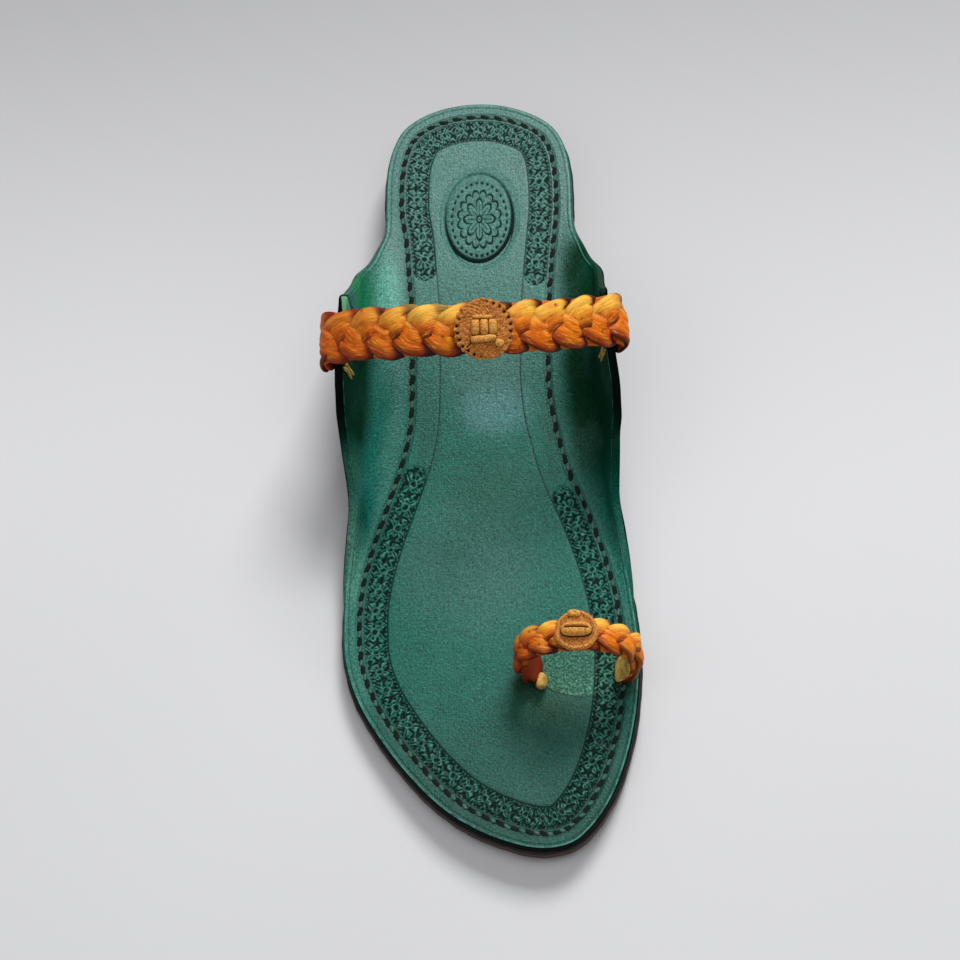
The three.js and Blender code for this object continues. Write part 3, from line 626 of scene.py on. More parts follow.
def heel():
    """The heel's end of the outline, closed by a straight breast, drawn in at each height.
    Its flat ends close on rings that shrink to a pole."""
    breast = HEEL_LENGTH / SOLE_LENGTH
    along = (1 - np.cos(np.linspace(0, np.arccos(1 - 2 * breast), 90))) / 2
    medial, lateral = edge_x(MEDIAL, along), edge_x(LATERAL, along)
    middle = (medial[-1] + lateral[-1]) / 2
    right = np.stack([medial + OUTSOLE_PROUD, along], -1)
    left = np.stack([lateral - OUTSOLE_PROUD, along], -1)[:0:-1]
    outline = np.concatenate([right, np.linspace(right[-1], left[0], 26)[1:-1], left])

    def ring(inset, up, share=1.0):
        shrink = (HEEL_WIDTH / 2 - inset) / (HEEL_WIDTH / 2) * share
        x = middle + (outline[:, 0] - middle) * shrink
        y = y_at(outline[:, 1]) - inset * (1 - outline[:, 1] / breast)
        centre_y = y_at(breast / 2)
        return np.stack([x, centre_y + (y - centre_y) * share, np.full(len(x), float(up))], -1)

    low, high = HEEL_PROFILE[0][1], HEEL_PROFILE[-1][1]
    rings = [ring(low, 0, share) for share in (0.1, 0.4, 0.7, 0.9)]
    rings += [ring(inset, up) for up, inset in HEEL_PROFILE]
    rings += [ring(high, HEEL_HEIGHT, share) for share in (0.9, 0.5, 0.1)]
    piece("stacked_heel", [tube(np.array(rings))], SOLE_EDGE, ["heel"])


# Bands: frames carried along the strap and the ring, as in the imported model
def smooth_path(points, count):
    """Centripetal Catmull-Rom curve through the points, read at even lengths."""
    p = np.vstack([2 * points[0] - points[1], points, 2 * points[-1] - points[-2]])
    gap = np.linalg.norm(np.diff(p, axis=0), axis=1) ** 0.5
    u = np.linspace(0, 1, 60, endpoint=False)[:, None]
    parts = []
    for i in range(len(points) - 1):
        (a, b, c, d), (g0, g1, g2) = p[i:i + 4], gap[i:i + 3]
        leaving = ((b - a) / g0 - (c - a) / (g0 + g1) + (c - b) / g1) * g1
        arriving = ((c - b) / g1 - (d - b) / (g1 + g2) + (d - c) / g2) * g1
        parts.append(cubic(u, b, leaving, c, arriving))
    dense = np.vstack(parts + [points[-1:]])
    length = np.append(0, np.cumsum(np.linalg.norm(np.diff(dense, axis=0), axis=1)))
    even = np.linspace(0, length[-1], count)
    return np.stack([np.interp(even, length, dense[:, k]) for k in range(3)], -1), length[-1]


def frame_band(points, across):
    """Place, direction across and direction out of the face, at even steps of a route."""
    place, length = smooth_path(np.array(points), 600)
    tangent = unit(np.gradient(place, axis=0))
    wide = across(place)
    wide = unit(wide - np.sum(wide * tangent, -1, keepdims=True) * tangent)
    return {"place": place, "wide": wide, "out": np.cross(wide, tangent), "length": length}


def on_band(band, along, across, out):
    """A place along a band from its first end, across it and out of its face."""
    along, across, out = np.broadcast_arrays(along, across, out)
    step = along / band["length"] * (len(band["place"]) - 1)
    index = np.arange(len(band["place"]))
    read = lambda key: np.stack([np.interp(step, index, band[key][:, k]) for k in range(3)], -1)
    return read("place") + read("wide") * across[..., None] + read("out") * out[..., None]


def ear_seat(side):
    """Where the strap meets an ear: its outer corner, up and out of its face there, and
    the direction forward along the ear at a depth below its edge."""
    middle = STRAP_PLACE - side * STRAP_SKEW
    half = STRAP_WIDTH / 2 / SOLE_LENGTH

    def place(along, below):
        y = y_at(along)
        fold, width, _, _ = ear_section(side, y)
        return leather(side, fold + side * (width - below), y, FOOTBED_THICKNESS)

    forward = lambda below: unit(place(middle + half, below) - place(middle - half, below))
    corner = place(middle, 0.0)
    up = unit(corner - place(middle, STRAP_LAP))
    out = unit(np.cross(up, forward(STRAP_LAP / 2)))
    return corner, up, out * (1 if out[0] * side > 0 else -1), forward


def strap_band():
    """Up each ear's outer face, round its edge and over the foot on a parabola."""
    seats = {side: ear_seat(side) for side in (LATERAL, MEDIAL)}
    crown = (seats[LATERAL][0] + seats[MEDIAL][0]) / 2
    crown = crown + [0, -STRAP_FORWARD, STRAP_RISE + STRAP_THICKNESS / 2]
    off = SEAT_GAP + STRAP_THICKNESS / 2
    halves = []
    for corner, up, out, _ in seats.values():
        points = [corner - up * STRAP_LAP * share + out * off for share in (1, 0.7, 0.4)]
        centre, radius = corner - out - up, 2**0.5 + off
        for turn in np.radians((0, 20, 40, 60)):
            points.append(centre + radius * (out * cos(turn) + up * sin(turn)))
        rim = points[-1]
        for share in np.arange(1, 8) / 8:
            rise = 1 - (1 - share) ** 2
            points.append(rim + (crown - rim) * [share, rise, rise])
        halves.append(points)
    tilt = radians(STRAP_TILT)
    tilted = np.array([0, -cos(tilt), -sin(tilt)])

    def across(place):
        rows = []
        for at in place:
            corner, up, _, forward = seats[LATERAL if at[0] < crown[0] else MEDIAL]
            share = np.clip(1 - abs(at[0] - crown[0]) / abs(corner[0] - crown[0]), 0, 1)
            ahead = forward(np.clip(np.dot(corner - at, up), 0, STRAP_LAP))
            rows.append(unit(ahead + (tilted - ahead) * share**0.5))
        return np.array(rows)

    return frame_band(halves[0] + [crown] + halves[1][::-1], across)


def ring_band():
    """Stands on the footbed beside the big toe, its feet drawn in under its sides. Each row
    holds a height, how far out it lies and its share of the foot's span."""
    half, foot_half = (RING_SPAN - RING_THICKNESS) / 2, (RING_FOOT_SPAN - RING_THICKNESS) / 2
    rise = RING_HEIGHT - RING_THICKNESS / 2
    y = y_at(RING_PLACE)
    low = footbed_top(y - RING_WIDTH / 2) + GAP
    rows = [(0, 1, 1), (0.06, 1, 1), (0.2, 1, 0.45), (0.48, 1, 0), (0.78, 0.86, 0), (0.95, 0.48, 0)]
    at = lambda sign, height, side, foot: np.array([
        BALL_WIDTH * RING_CENTRE + sign * (side * half + (foot_half - side * half) * foot),
        y + RING_LEAN * height**2, low + rise * height])
    points = [at(-1, *row) for row in rows] + [at(0, 1, 0, 0)]
    points += [at(1, *row) for row in rows[::-1]]
    return frame_band(points, lambda place: np.tile([0.0, -1.0, 0.0], (len(place), 1)))


def braid(band, width, thickness, pitch, point):
    """Three strips that weave on a backing strip: each strip's middle swings across as a
    cosine, and sinks and rises as a sine of twice its angle, a third of a turn after the
    one before it. A strip is a flattened ellipse with folds, square to its own way."""
    strip_width, strip_thick = 0.57 * width, 0.52 * thickness
    swing, lift = (width - strip_width) / 2, 0.27 * thickness
    run = np.linspace(0.3, band["length"] - 0.3, int(band["length"] / 0.42))[:, None]
    from_end = np.minimum(run, band["length"] - run)
    narrow = 0.3 + 0.7 * np.sin(np.clip(from_end / point, 0, 1) * pi / 2) if point else 1 + 0 * run
    angle = round_angles(48)[None]
    u, v = squarer(np.cos(angle), 0.8), squarer(np.sin(angle), 0.75)
    bodies = []
    marks = {"level": [], "fold": [], "strip_run": [], "heelward": [], "rib": []}

    def keep(*rows):
        for mark, values in zip(marks, rows):
            marks[mark] += [(values + 0 * run + 0 * u).ravel(), np.zeros(2)]

    for strand in range(3):
        phase = 2 * pi * (run / (3 * pitch) + strand / 3)
        across = swing * (np.cos(phase) - 0.08 * np.sin(phase) ** 2) * narrow
        out = -lift * np.sin(2 * phase) + 0.04 * thickness * np.sin(run * 0.9 + 2 * strand)
        middle = on_band(band, run, across, out)[:, 0]
        way = unit(np.gradient(middle, axis=0))
        face = on_band(band, run, 0, 1)[:, 0] - on_band(band, run, 0, 0)[:, 0]
        wide = unit(np.cross(face, way))
        up = np.cross(way, wide)
        sway = np.sin(run * 0.43 + 2.4 * strand)
        folds = 0.09 * np.sin(8 * u + 1.5 * sway + strand) - 0.32 * bell(u - 0.3 * sway - 0.12, 0.09)
        folds = folds * (v > 0) * (1 - np.abs(u) ** 4)
        slack = 1 + 0.07 * np.sin(run * 0.55 + 2.1 * strand)
        a = (u * strip_width / 2 * narrow * slack)[..., None]
        b = ((v + folds) * strip_thick / 2 * narrow**0.5)[..., None]
        bodies.append(tube(middle[:, None] + wide[:, None] * a + up[:, None] * b))
        keep((out + (v + 1.5 * folds) * strip_thick / 2) / (lift + strip_thick / 2),
             u + 3 * strand, run,
             smooth(-0.1, -0.75, (across - u * strip_width / 2) / (width / 2)), u)
    edge = 1 + 0.02 * np.sin(run * 1.1)
    bodies.append(tube(on_band(band, run, u * 0.455 * width * narrow * edge,
                               (0.29 * v - 0.2) * thickness * narrow**0.5)))
    keep(0.2 * v + 0.46, 4 * u, run, 0, 0)
    return bodies, {mark: np.concatenate(values) for mark, values in marks.items()}


def over_band(band, middle, low):
    """Lays points on a band's face. Lengths along a bend are drawn in, because its outside
    is longer."""
    steps = len(band["place"]) - 1
    at = int(round((0.5 + middle / band["length"]) * steps))
    turned = np.clip(np.dot(band["out"][at - 12], band["out"][at + 12]), -1, 1)
    bend = np.arccos(turned) / (24 * band["length"] / steps)
    centre = band["length"] / 2 + middle
    return lambda x, y, up: on_band(band, centre + x / (1 + bend * (low + up)), y, low + up)


def lathe(place, radius, share, height, foot):
    """A closed body over a round outline: rings at shares of its radius and at heights that
    vary round it, from the top's middle outward. The last rings take the foot's heights."""
    angle = round_angles(radius.size)
    height[-len(foot):] = np.array(foot)[:, None]
    return tube(place(share * radius * np.cos(angle), share * radius * np.sin(angle), height))


def rod(place, centre, half, way, heights, bow):
    """A rounded thong end: a stadium of half length and half width, turned in the face's
    plane, from a low to a high height, bowed down at its ends."""
    steps = np.linspace(-1, 1, 19)[1:-1, None]
    angle = round_angles(20)[None]
    full = (1 - np.abs(steps) ** 5) ** 0.5
    x = steps * half[0] + 0 * angle
    y = full * half[1] * squarer(np.cos(angle), 0.8)
    low, high = heights
    up = (low + high) / 2 + full * (high - low) / 2 * np.sin(angle) - bow * steps**2
    turn = radians(way)
    return tube(place(centre[0] + x * cos(turn) - y * sin(turn),
                      centre[1] + x * sin(turn) + y * cos(turn), up))


# The knot's thongs: middle, half length and width, way in degrees, heights and bow. Three
# short bars over a long one, its curled ends, and the thong's flat base.
KNOT_RODS = (
    ((-2.75, -0.7), (2.7, 1.3), 90, (0.1, 2.0), 0.7), ((0.05, -0.7), (2.7, 1.3), 90, (0.1, 2.3), 0.7),
    ((2.8, -0.7), (2.7, 1.3), 90, (0.1, 2.05), 0.7), ((-0.3, 3.0), (4.5, 1.15), -3, (0.05, 2.1), 0.3),
    ((-0.4, -3.9), (3.6, 0.6), 2, (-0.1, 0.9), 0.2), ((4.7, 4.6), (1.5, 1.2), 25, (-0.5, 1.5), 0.2),
    ((0, -0.3), (4.4, 3.6), 0, (-0.25, 0.75), 0.1),
)


def rosette(strap):
    """A disc whose rim and height fall in bells at each tooth, with a ring of burnt dots
    just inside its edge, a cut and waves in sines of the angle. A knot lies on it."""
    low, high = STRAP_THICKNESS / 2 + GAP, ROSETTE_THICKNESS
    angle = round_angles(480)
    share = np.concatenate([np.linspace(0.03, 0.8, 32), np.linspace(0.82, 0.995, 16),
                            [1, 1, 0.98, 0.6, 0.1]])[:, None]
    tooth = np.mod(angle * ROSETTE_TEETH / (2 * pi), 1) - 0.5
    dot = bell(tooth, 0.24) * np.clip(0.8 + 0.5 * np.sin(2 * angle + 2.6), 0.3, 1)
    radius = ROSETTE_DIAMETER / 2 + 0.15 - ROSETTE_TOOTH * (0.5 * dot + 0.12 * np.sin(9 * angle + 1))
    dots = dot * bell(share - 0.91, 0.065)
    cut = bell((angle - 2.35) * share, 0.035) * (
        smooth(0.45, 0.5, share) * (1 - smooth(0.8, 0.85, share)))
    height = (high + 0.12 * np.sin(5 * angle + 9 * share) * share
              + 0.08 * np.sin(13 * angle - 21 * share) + 0.07 * np.sin(31 * angle + 40 * share)
              - 0.85 * dots - 0.3 * smooth(0.93, 1.0, share) - 0.4 * cut)
    body = lathe(over_band(strap, ROSETTE_OFFSET, low), radius, share, height,
                 (high * 0.6, high * 0.25, 0, 0, 0))
    burn_and_shade = np.append(np.maximum(dots, 0.7 * cut), [0, 0])
    piece("saw_tooth_rosette", [body], TAN, ["rosette"],
          {"burn_and_shade": burn_and_shade, "pale": 0 * burn_and_shade})

    knot = over_band(strap, ROSETTE_OFFSET, low + high)
    bars = [rod(knot, *row) for row in KNOT_RODS]
    burn_and_shade = np.repeat([0.0] * (len(bars) - 1) + [0.6], [len(points) for points, _ in bars])
    piece("thong_knot", bars, TAN, ["rosette_knot"],
          {"burn_and_shade": burn_and_shade, "pale": 1 - burn_and_shade})


def button(ring):
    """A disc with a rolled rim, waved by sines, and over it a split bean: a super-ellipse
    domed by a root, with a slit pressed along it as a bell."""
    low, high = RING_THICKNESS / 2 + GAP, BUTTON_THICKNESS
    angle = round_angles(200)
    radius = BUTTON_DIAMETER / 2 + 0.12 * np.sin(3 * angle) + 0.08 * np.sin(7 * angle + 1)
    share = np.append(np.linspace(0.04, 0.995, 36), [1.01, 1.01, 0.97, 0.5, 0.1])[:, None]
    height = (high - 0.45 + 0.07 * np.sin(19 * angle + 30 * share) * np.sin(40 * share)
              + 0.5 * bell(share - 0.9, 0.07) - 0.25 * smooth(0.95, 1, share))
    body = lathe(over_band(ring, 0, low), radius, share, height,
                 (high * 0.65, high * 0.3, 0, 0, 0))
    burn_and_shade, pale = (np.append(deep * bell(share - at, 0.06) + 0 * angle, [0, 0])
                  for deep, at in ((0.45, 0.76), (0.5, 0.9)))
    piece("toe_button", [body], TAN, ["ring_button"],
          {"burn_and_shade": burn_and_shade, "pale": pale})

    place = over_band(ring, 0, low + high - 0.35)
    angle = round_angles(160)
    radius = 1 / ((np.abs(np.cos(angle)) / (BEAN_LENGTH / 2)) ** 2.6
                  + (np.abs(np.sin(angle)) / (BEAN_WIDTH / 2)) ** 2.6) ** (1 / 2.6)
    share = np.append(np.linspace(0.03, 0.995, 34), [1, 0.95, 0.5, 0.1])[:, None]
    across, along = share * radius * np.sin(angle), share * radius * np.cos(angle)
    off = across + 0.35 - 0.03 * along
    slit = bell(off, 0.34) * (1 - smooth(3.3, 4.1, np.abs(along)))
    height = 0.2 + (BEAN_HEIGHT + 0.1) * (1 - share**3.4) ** 0.5 - 1.25 * slit
    bean = lathe(place, radius, share, height, (0.1, 0, 0, 0))
    stub = rod(place, (-0.6, -5.6), (2.1, 1.2), 8, (-0.6, 1.2), 0.2)
    # Dark in the bean's slit and round its foot: painted shade in the slit and under its edge.
    burn_and_shade = np.maximum(0.8 * bell(off, 0.3) * (np.abs(along) < 3.7), smooth(0.95, 0.99, share))
    burn_and_shade = np.append(burn_and_shade, np.zeros(2 + len(stub[0])))
    piece("split_bean", [bean, stub], TAN, ["ring_bean"],
          {"burn_and_shade": burn_and_shade, "pale": 1 - burn_and_shade})


def ears_lashings():
    """Thin thongs on each ear's inner face, just ahead of the strap: round sections that
    shrink at both ends and sway as a sine."""
    steps = np.linspace(0, 1, 26)[:, None]
    angle = round_angles(10)[None]
    full = np.clip(4 * np.minimum(steps + 0.02, 1.02 - steps), 0, 1) ** 0.5
    across, up = full * 0.62 * np.cos(angle), 0.42 + full * 0.5 * np.sin(angle)
    for side, name in ((LATERAL, "lateral"), (MEDIAL, "medial")):
        strands = []
        for k in range(2):
            along = (STRAP_PLACE - side * STRAP_SKEW
                     + (STRAP_WIDTH / 2 - LASHING_INSET + 2.1 * (k - 0.5)) / SOLE_LENGTH)
            y = y_at(along) + 0.9 * (k - 0.5) * np.sin(3 * steps) + 0 * angle
            below = LASHING_INSET * 0.2 + (LASHING_LENGTH + 1.5 - 2.5 * k) * (1 - steps)
            fold, width, _, _ = ear_section(side, y)
            strands.append(tube(leather(side, fold + side * (width - below), y + across, -up)))
        piece(f"lashing_thong_{name}", strands, THONG, [f"lashing_{name}"])


def ring_thongs(ring):
    """Pale thong ends at the ring's feet: a tuft inside the lateral foot, and the strip
    that lines the medial one."""
    inside = lambda x, y, up: on_band(ring, x, y, -RING_THICKNESS / 2 - up)
    tuft = rod(inside, (2.1, 4.4), (3.0, 1.35), 76, (-0.9, 1.6), 0.3)
    lining = rod(inside, (ring["length"] - 6.9, 1.3), (6.6, 4.4), 0, (-0.9, 0.75), 0.1)
    piece("ring_thong_ends", [tuft, lining], THONG)


# Finishes
def linear(colour):
    """A screen colour of three numbers from 0 to 255 as the linear colour that a shader
    takes. Sockets and colours of four numbers stay as they are."""
    if not isinstance(colour, tuple) or len(colour) != 3:
        return colour
    scaled = np.array(colour) / 255
    light = np.where(scaled <= 0.04045, scaled / 12.92, ((scaled + 0.055) / 1.055) ** 2.4)
    return (*light.tolist(), 1.0)


class Nodes:
    """Short ways to add nodes to one tree. A socket given as a value is linked."""

    def __init__(self, tree, material=None, colour=None):
        self.tree, self.material, self.colour = tree, material, colour

    def add(self, kind, inputs=(), **settings):
        node = self.tree.nodes.new(kind if kind.startswith("Node") else f"ShaderNode{kind}")
        for key, value in settings.items():
            setattr(node, key, value)
        for key, value in dict(inputs).items():
            self.feed(node.inputs[key], value)
        return node

    def feed(self, socket, value):
        if isinstance(value, bpy.types.NodeSocket):
            self.tree.links.new(value, socket)
        else:
            socket.default_value = value

    def math(self, operation, a, b=0.0, clamp=False):
        return self.add("Math", {0: a, 1: b}, operation=operation, use_clamp=clamp).outputs[0]

    def times(self, *factors):
        return reduce(lambda a, b: self.math("MULTIPLY", a, b), factors)

    def plus(self, *terms):
        return reduce(lambda a, b: self.math("ADD", a, b), terms)

    def minus(self, a, b):
        return self.math("SUBTRACT", a, b)

    def apart(self, a, b):
        return self.math("ABSOLUTE", self.minus(a, b))

    def vector(self, operation, a, b=(0.0, 0.0, 0.0)):
        node = self.add("VectorMath", {0: a, 1: b}, operation=operation)
        return node.outputs["Value" if operation == "LENGTH" else "Vector"]

    def blend(self, share, a, b, how="MIX"):
        inputs = {0: share, 6: linear(a), 7: linear(b)}
        return self.add("Mix", inputs, data_type="RGBA", blend_type=how).outputs[2]

    def span(self, value, low, high, to_low=0.0, to_high=1.0):
        inputs = {"Value": value, "From Min": low, "From Max": high, "To Min": to_low,
                  "To Max": to_high}
        return self.add("MapRange", inputs, interpolation_type="SMOOTHSTEP").outputs[0]

    def cover(self, share, dye, how="MIX"):
        """Lays a dye over the colour so far, by a share."""
        self.colour = self.blend(share, self.colour, dye, how)

    def tint(self, dye, value, low, high, share=1.0, how="MIX"):
        """Lays a dye on by up to a share, as the value goes from low to high."""
        self.cover(self.span(value, low, high, 0.0, share), dye, how)

    def noise(self, place, size, detail=3.0, rough=0.55):
        """Noise whose features are about size mm across."""
        inputs = {"Vector": place, "Scale": 1 / (size * MM), "Detail": detail, "Roughness": rough}
        return self.add("TexNoise", inputs).outputs["Fac"]

    def cells(self, place, size):
        inputs = {"Vector": place, "Scale": 1 / (size * MM)}
        return self.add("TexVoronoi", inputs).outputs["Distance"]

    def mark(self, name):
        return self.add("Attribute", attribute_name=name).outputs["Fac"]

    def axis(self, place, name):
        return self.add("SeparateXYZ", {0: place}).outputs[name]

    def patch(self, place, centre, half, soft):
        """1 at a place of the sandal, in mm, and 0 beyond half widths round it."""
        moved = self.vector("SUBTRACT", place, (np.array(centre) - CENTRE) * MM)
        scaled = self.vector("MULTIPLY", moved, [1 / (value * MM) for value in half])
        return self.span(self.vector("LENGTH", scaled), 1.0, 1.0 - soft)


def grain_group():
    """Leather's grain: rounded pebbles with fine creases between them, and soft tone."""
    group = bpy.data.node_groups.new("leather_grain", "ShaderNodeTree")
    for name, way, kind in (("Vector", "INPUT", "Vector"), ("Pebble", "INPUT", "Float"),
                            ("Height", "OUTPUT", "Float"), ("Tone", "OUTPUT", "Float")):
        group.interface.new_socket(name, in_out=way, socket_type=f"NodeSocket{kind}")
    n = Nodes(group)
    given, put = n.add("NodeGroupInput"), n.add("NodeGroupOutput")
    place, size = given.outputs["Vector"], given.outputs["Pebble"]
    scale = n.math("DIVIDE", 1000.0, size)
    wobble = n.add("TexNoise", {"Vector": place, "Scale": scale, "Detail": 2.0})
    shifted = n.add("VectorMath", {0: wobble.outputs["Color"], 3: 0.0007}, operation="SCALE")
    pebble = n.add("TexVoronoi", {"Vector": n.vector("ADD", shifted.outputs[0], place),
                                  "Scale": scale, "Randomness": 0.7})
    fine = n.add("TexNoise", {"Vector": place, "Scale": n.times(scale, 3.1), "Detail": 3.0})
    soft = n.add("TexNoise", {"Vector": place, "Scale": 60.0, "Detail": 4.0})
    n.feed(put.inputs["Height"], n.plus(n.times(n.minus(1.0, pebble.outputs["Distance"]), 0.75),
                                        n.times(fine.outputs["Fac"], 0.5)))
    n.feed(put.inputs["Tone"], soft.outputs["Fac"])
    return group


GRAIN = grain_group()


def new_finish(name, colour):
    """A material with a base colour, and its object's place as a pattern's ground."""
    material = bpy.data.materials.new(name)
    material.use_nodes = True
    material.node_tree.nodes.clear()
    n = Nodes(material.node_tree, material, colour)
    return n, n.add("TexCoord").outputs["Object"]


def grain(n, place, size):
    node = n.add("Group", node_tree=GRAIN)
    n.feed(node.inputs["Vector"], place)
    n.feed(node.inputs["Pebble"], size)
    return node.outputs["Height"], node.outputs["Tone"]


def close_finish(n, roughness, height, relief, gloss, coat=0.0):
    """Ends a material: its colour, roughness and bump, with the rest set on the shader."""
    bump = n.add("Bump", {"Height": height, "Distance": relief * MM, "Strength": 1.0})
    shader = n.add("BsdfPrincipled", {
        "Base Color": n.colour, "Roughness": roughness, "Normal": bump.outputs[0],
        "Specular IOR Level": gloss, "Coat Weight": coat, "Coat Roughness": 0.32})
    n.add("OutputMaterial", {"Surface": shader.outputs[0]})
    return n.material


HEEL_GREEN, SOLE_GREEN, TOE_GREEN = (72, 120, 111), (8, 100, 86), (0, 72, 60)
DEEP_GREEN, BRIGHT_GREEN, SHADE_GREEN = (0, 40, 13), (0, 134, 72), (0, 62, 40)
EDGE_DYE, OUTER_DYE, RIM_LIGHT = (3, 13, 10), (6, 16, 12), (86, 160, 140)

# Dye patches and patches of painted light and shade: place, half widths, colour, strength.
# BRIGHT_GREEN is a dye patch. The RIM_LIGHT patches and the pale and bluish ones are painted
# sheen and light, the HEEL_GREEN ones lighten the waist and forefoot, and the DEEP_GREEN and
# SHADE_GREEN ones are painted shade on the medial ear, along the folds, at the waist and
# round the ring's feet.
DYE_AND_PAINTED_LIGHT_PATCHES = (
    ((-43, 56, 32), (12, 21, 20), BRIGHT_GREEN, 1.0),
    ((-33, 56, 20), (7, 26, 10), RIM_LIGHT, 1.0),
    ((-33, 8, 22), (6, 34, 9), RIM_LIGHT, 0.4),
    ((37, 66, 28), (11, 17, 16), SHADE_GREEN, 0.9),
    ((-45, -36, 18), (11, 26, 14), (140, 206, 176), 0.6),
    ((-44, -10, 24), (10, 18, 16), RIM_LIGHT, 0.35),
    ((45, -36, 17), (9, 24, 12), RIM_LIGHT, 0.4),
    ((-6, -36, 10), (36, 34, 8), HEEL_GREEN, 0.5),
    ((-44, -66, 9), (12, 40, 9), RIM_LIGHT, 0.2),
    ((18, -88, 9), (26, 20, 8), DEEP_GREEN, 0.3),
    ((-20, 8, 14), (7, 26, 9), DEEP_GREEN, 0.3),
    ((22, 10, 14), (7, 26, 9), DEEP_GREEN, 0.35),
    ((2, 30, 14), (16, 26, 12), HEEL_GREEN, 0.7),
    ((21, -86, 9), (20, 12, 8), SHADE_GREEN, 0.8),
    ((12.5, -77, 9), (8, 8, 6), DEEP_GREEN, 0.95),
    ((0, -9, 14), (34, 26, 12), SHADE_GREEN, 0.5),
    ((3, 19, 14), (17, 12, 12), (96, 150, 152), 0.4),
    ((46, -78, 9), (7, 6, 6), DEEP_GREEN, 0.7),
)
# Pressed lines: mark, place, half width, strength
DARK_LINES = (
    ("inset", HEM_LINE, 0.34, 0.5), ("inset", 4.1, 0.3, 0.45), ("inset", FIELD_LINE, 0.36, 0.8),
    ("inset", STITCH_INSET, 1.0, 0.6), ("cut", CUT_LINE, 0.24, 0.5),
)
PALE_PATCH_PLACE = (31, -69.5, 9)


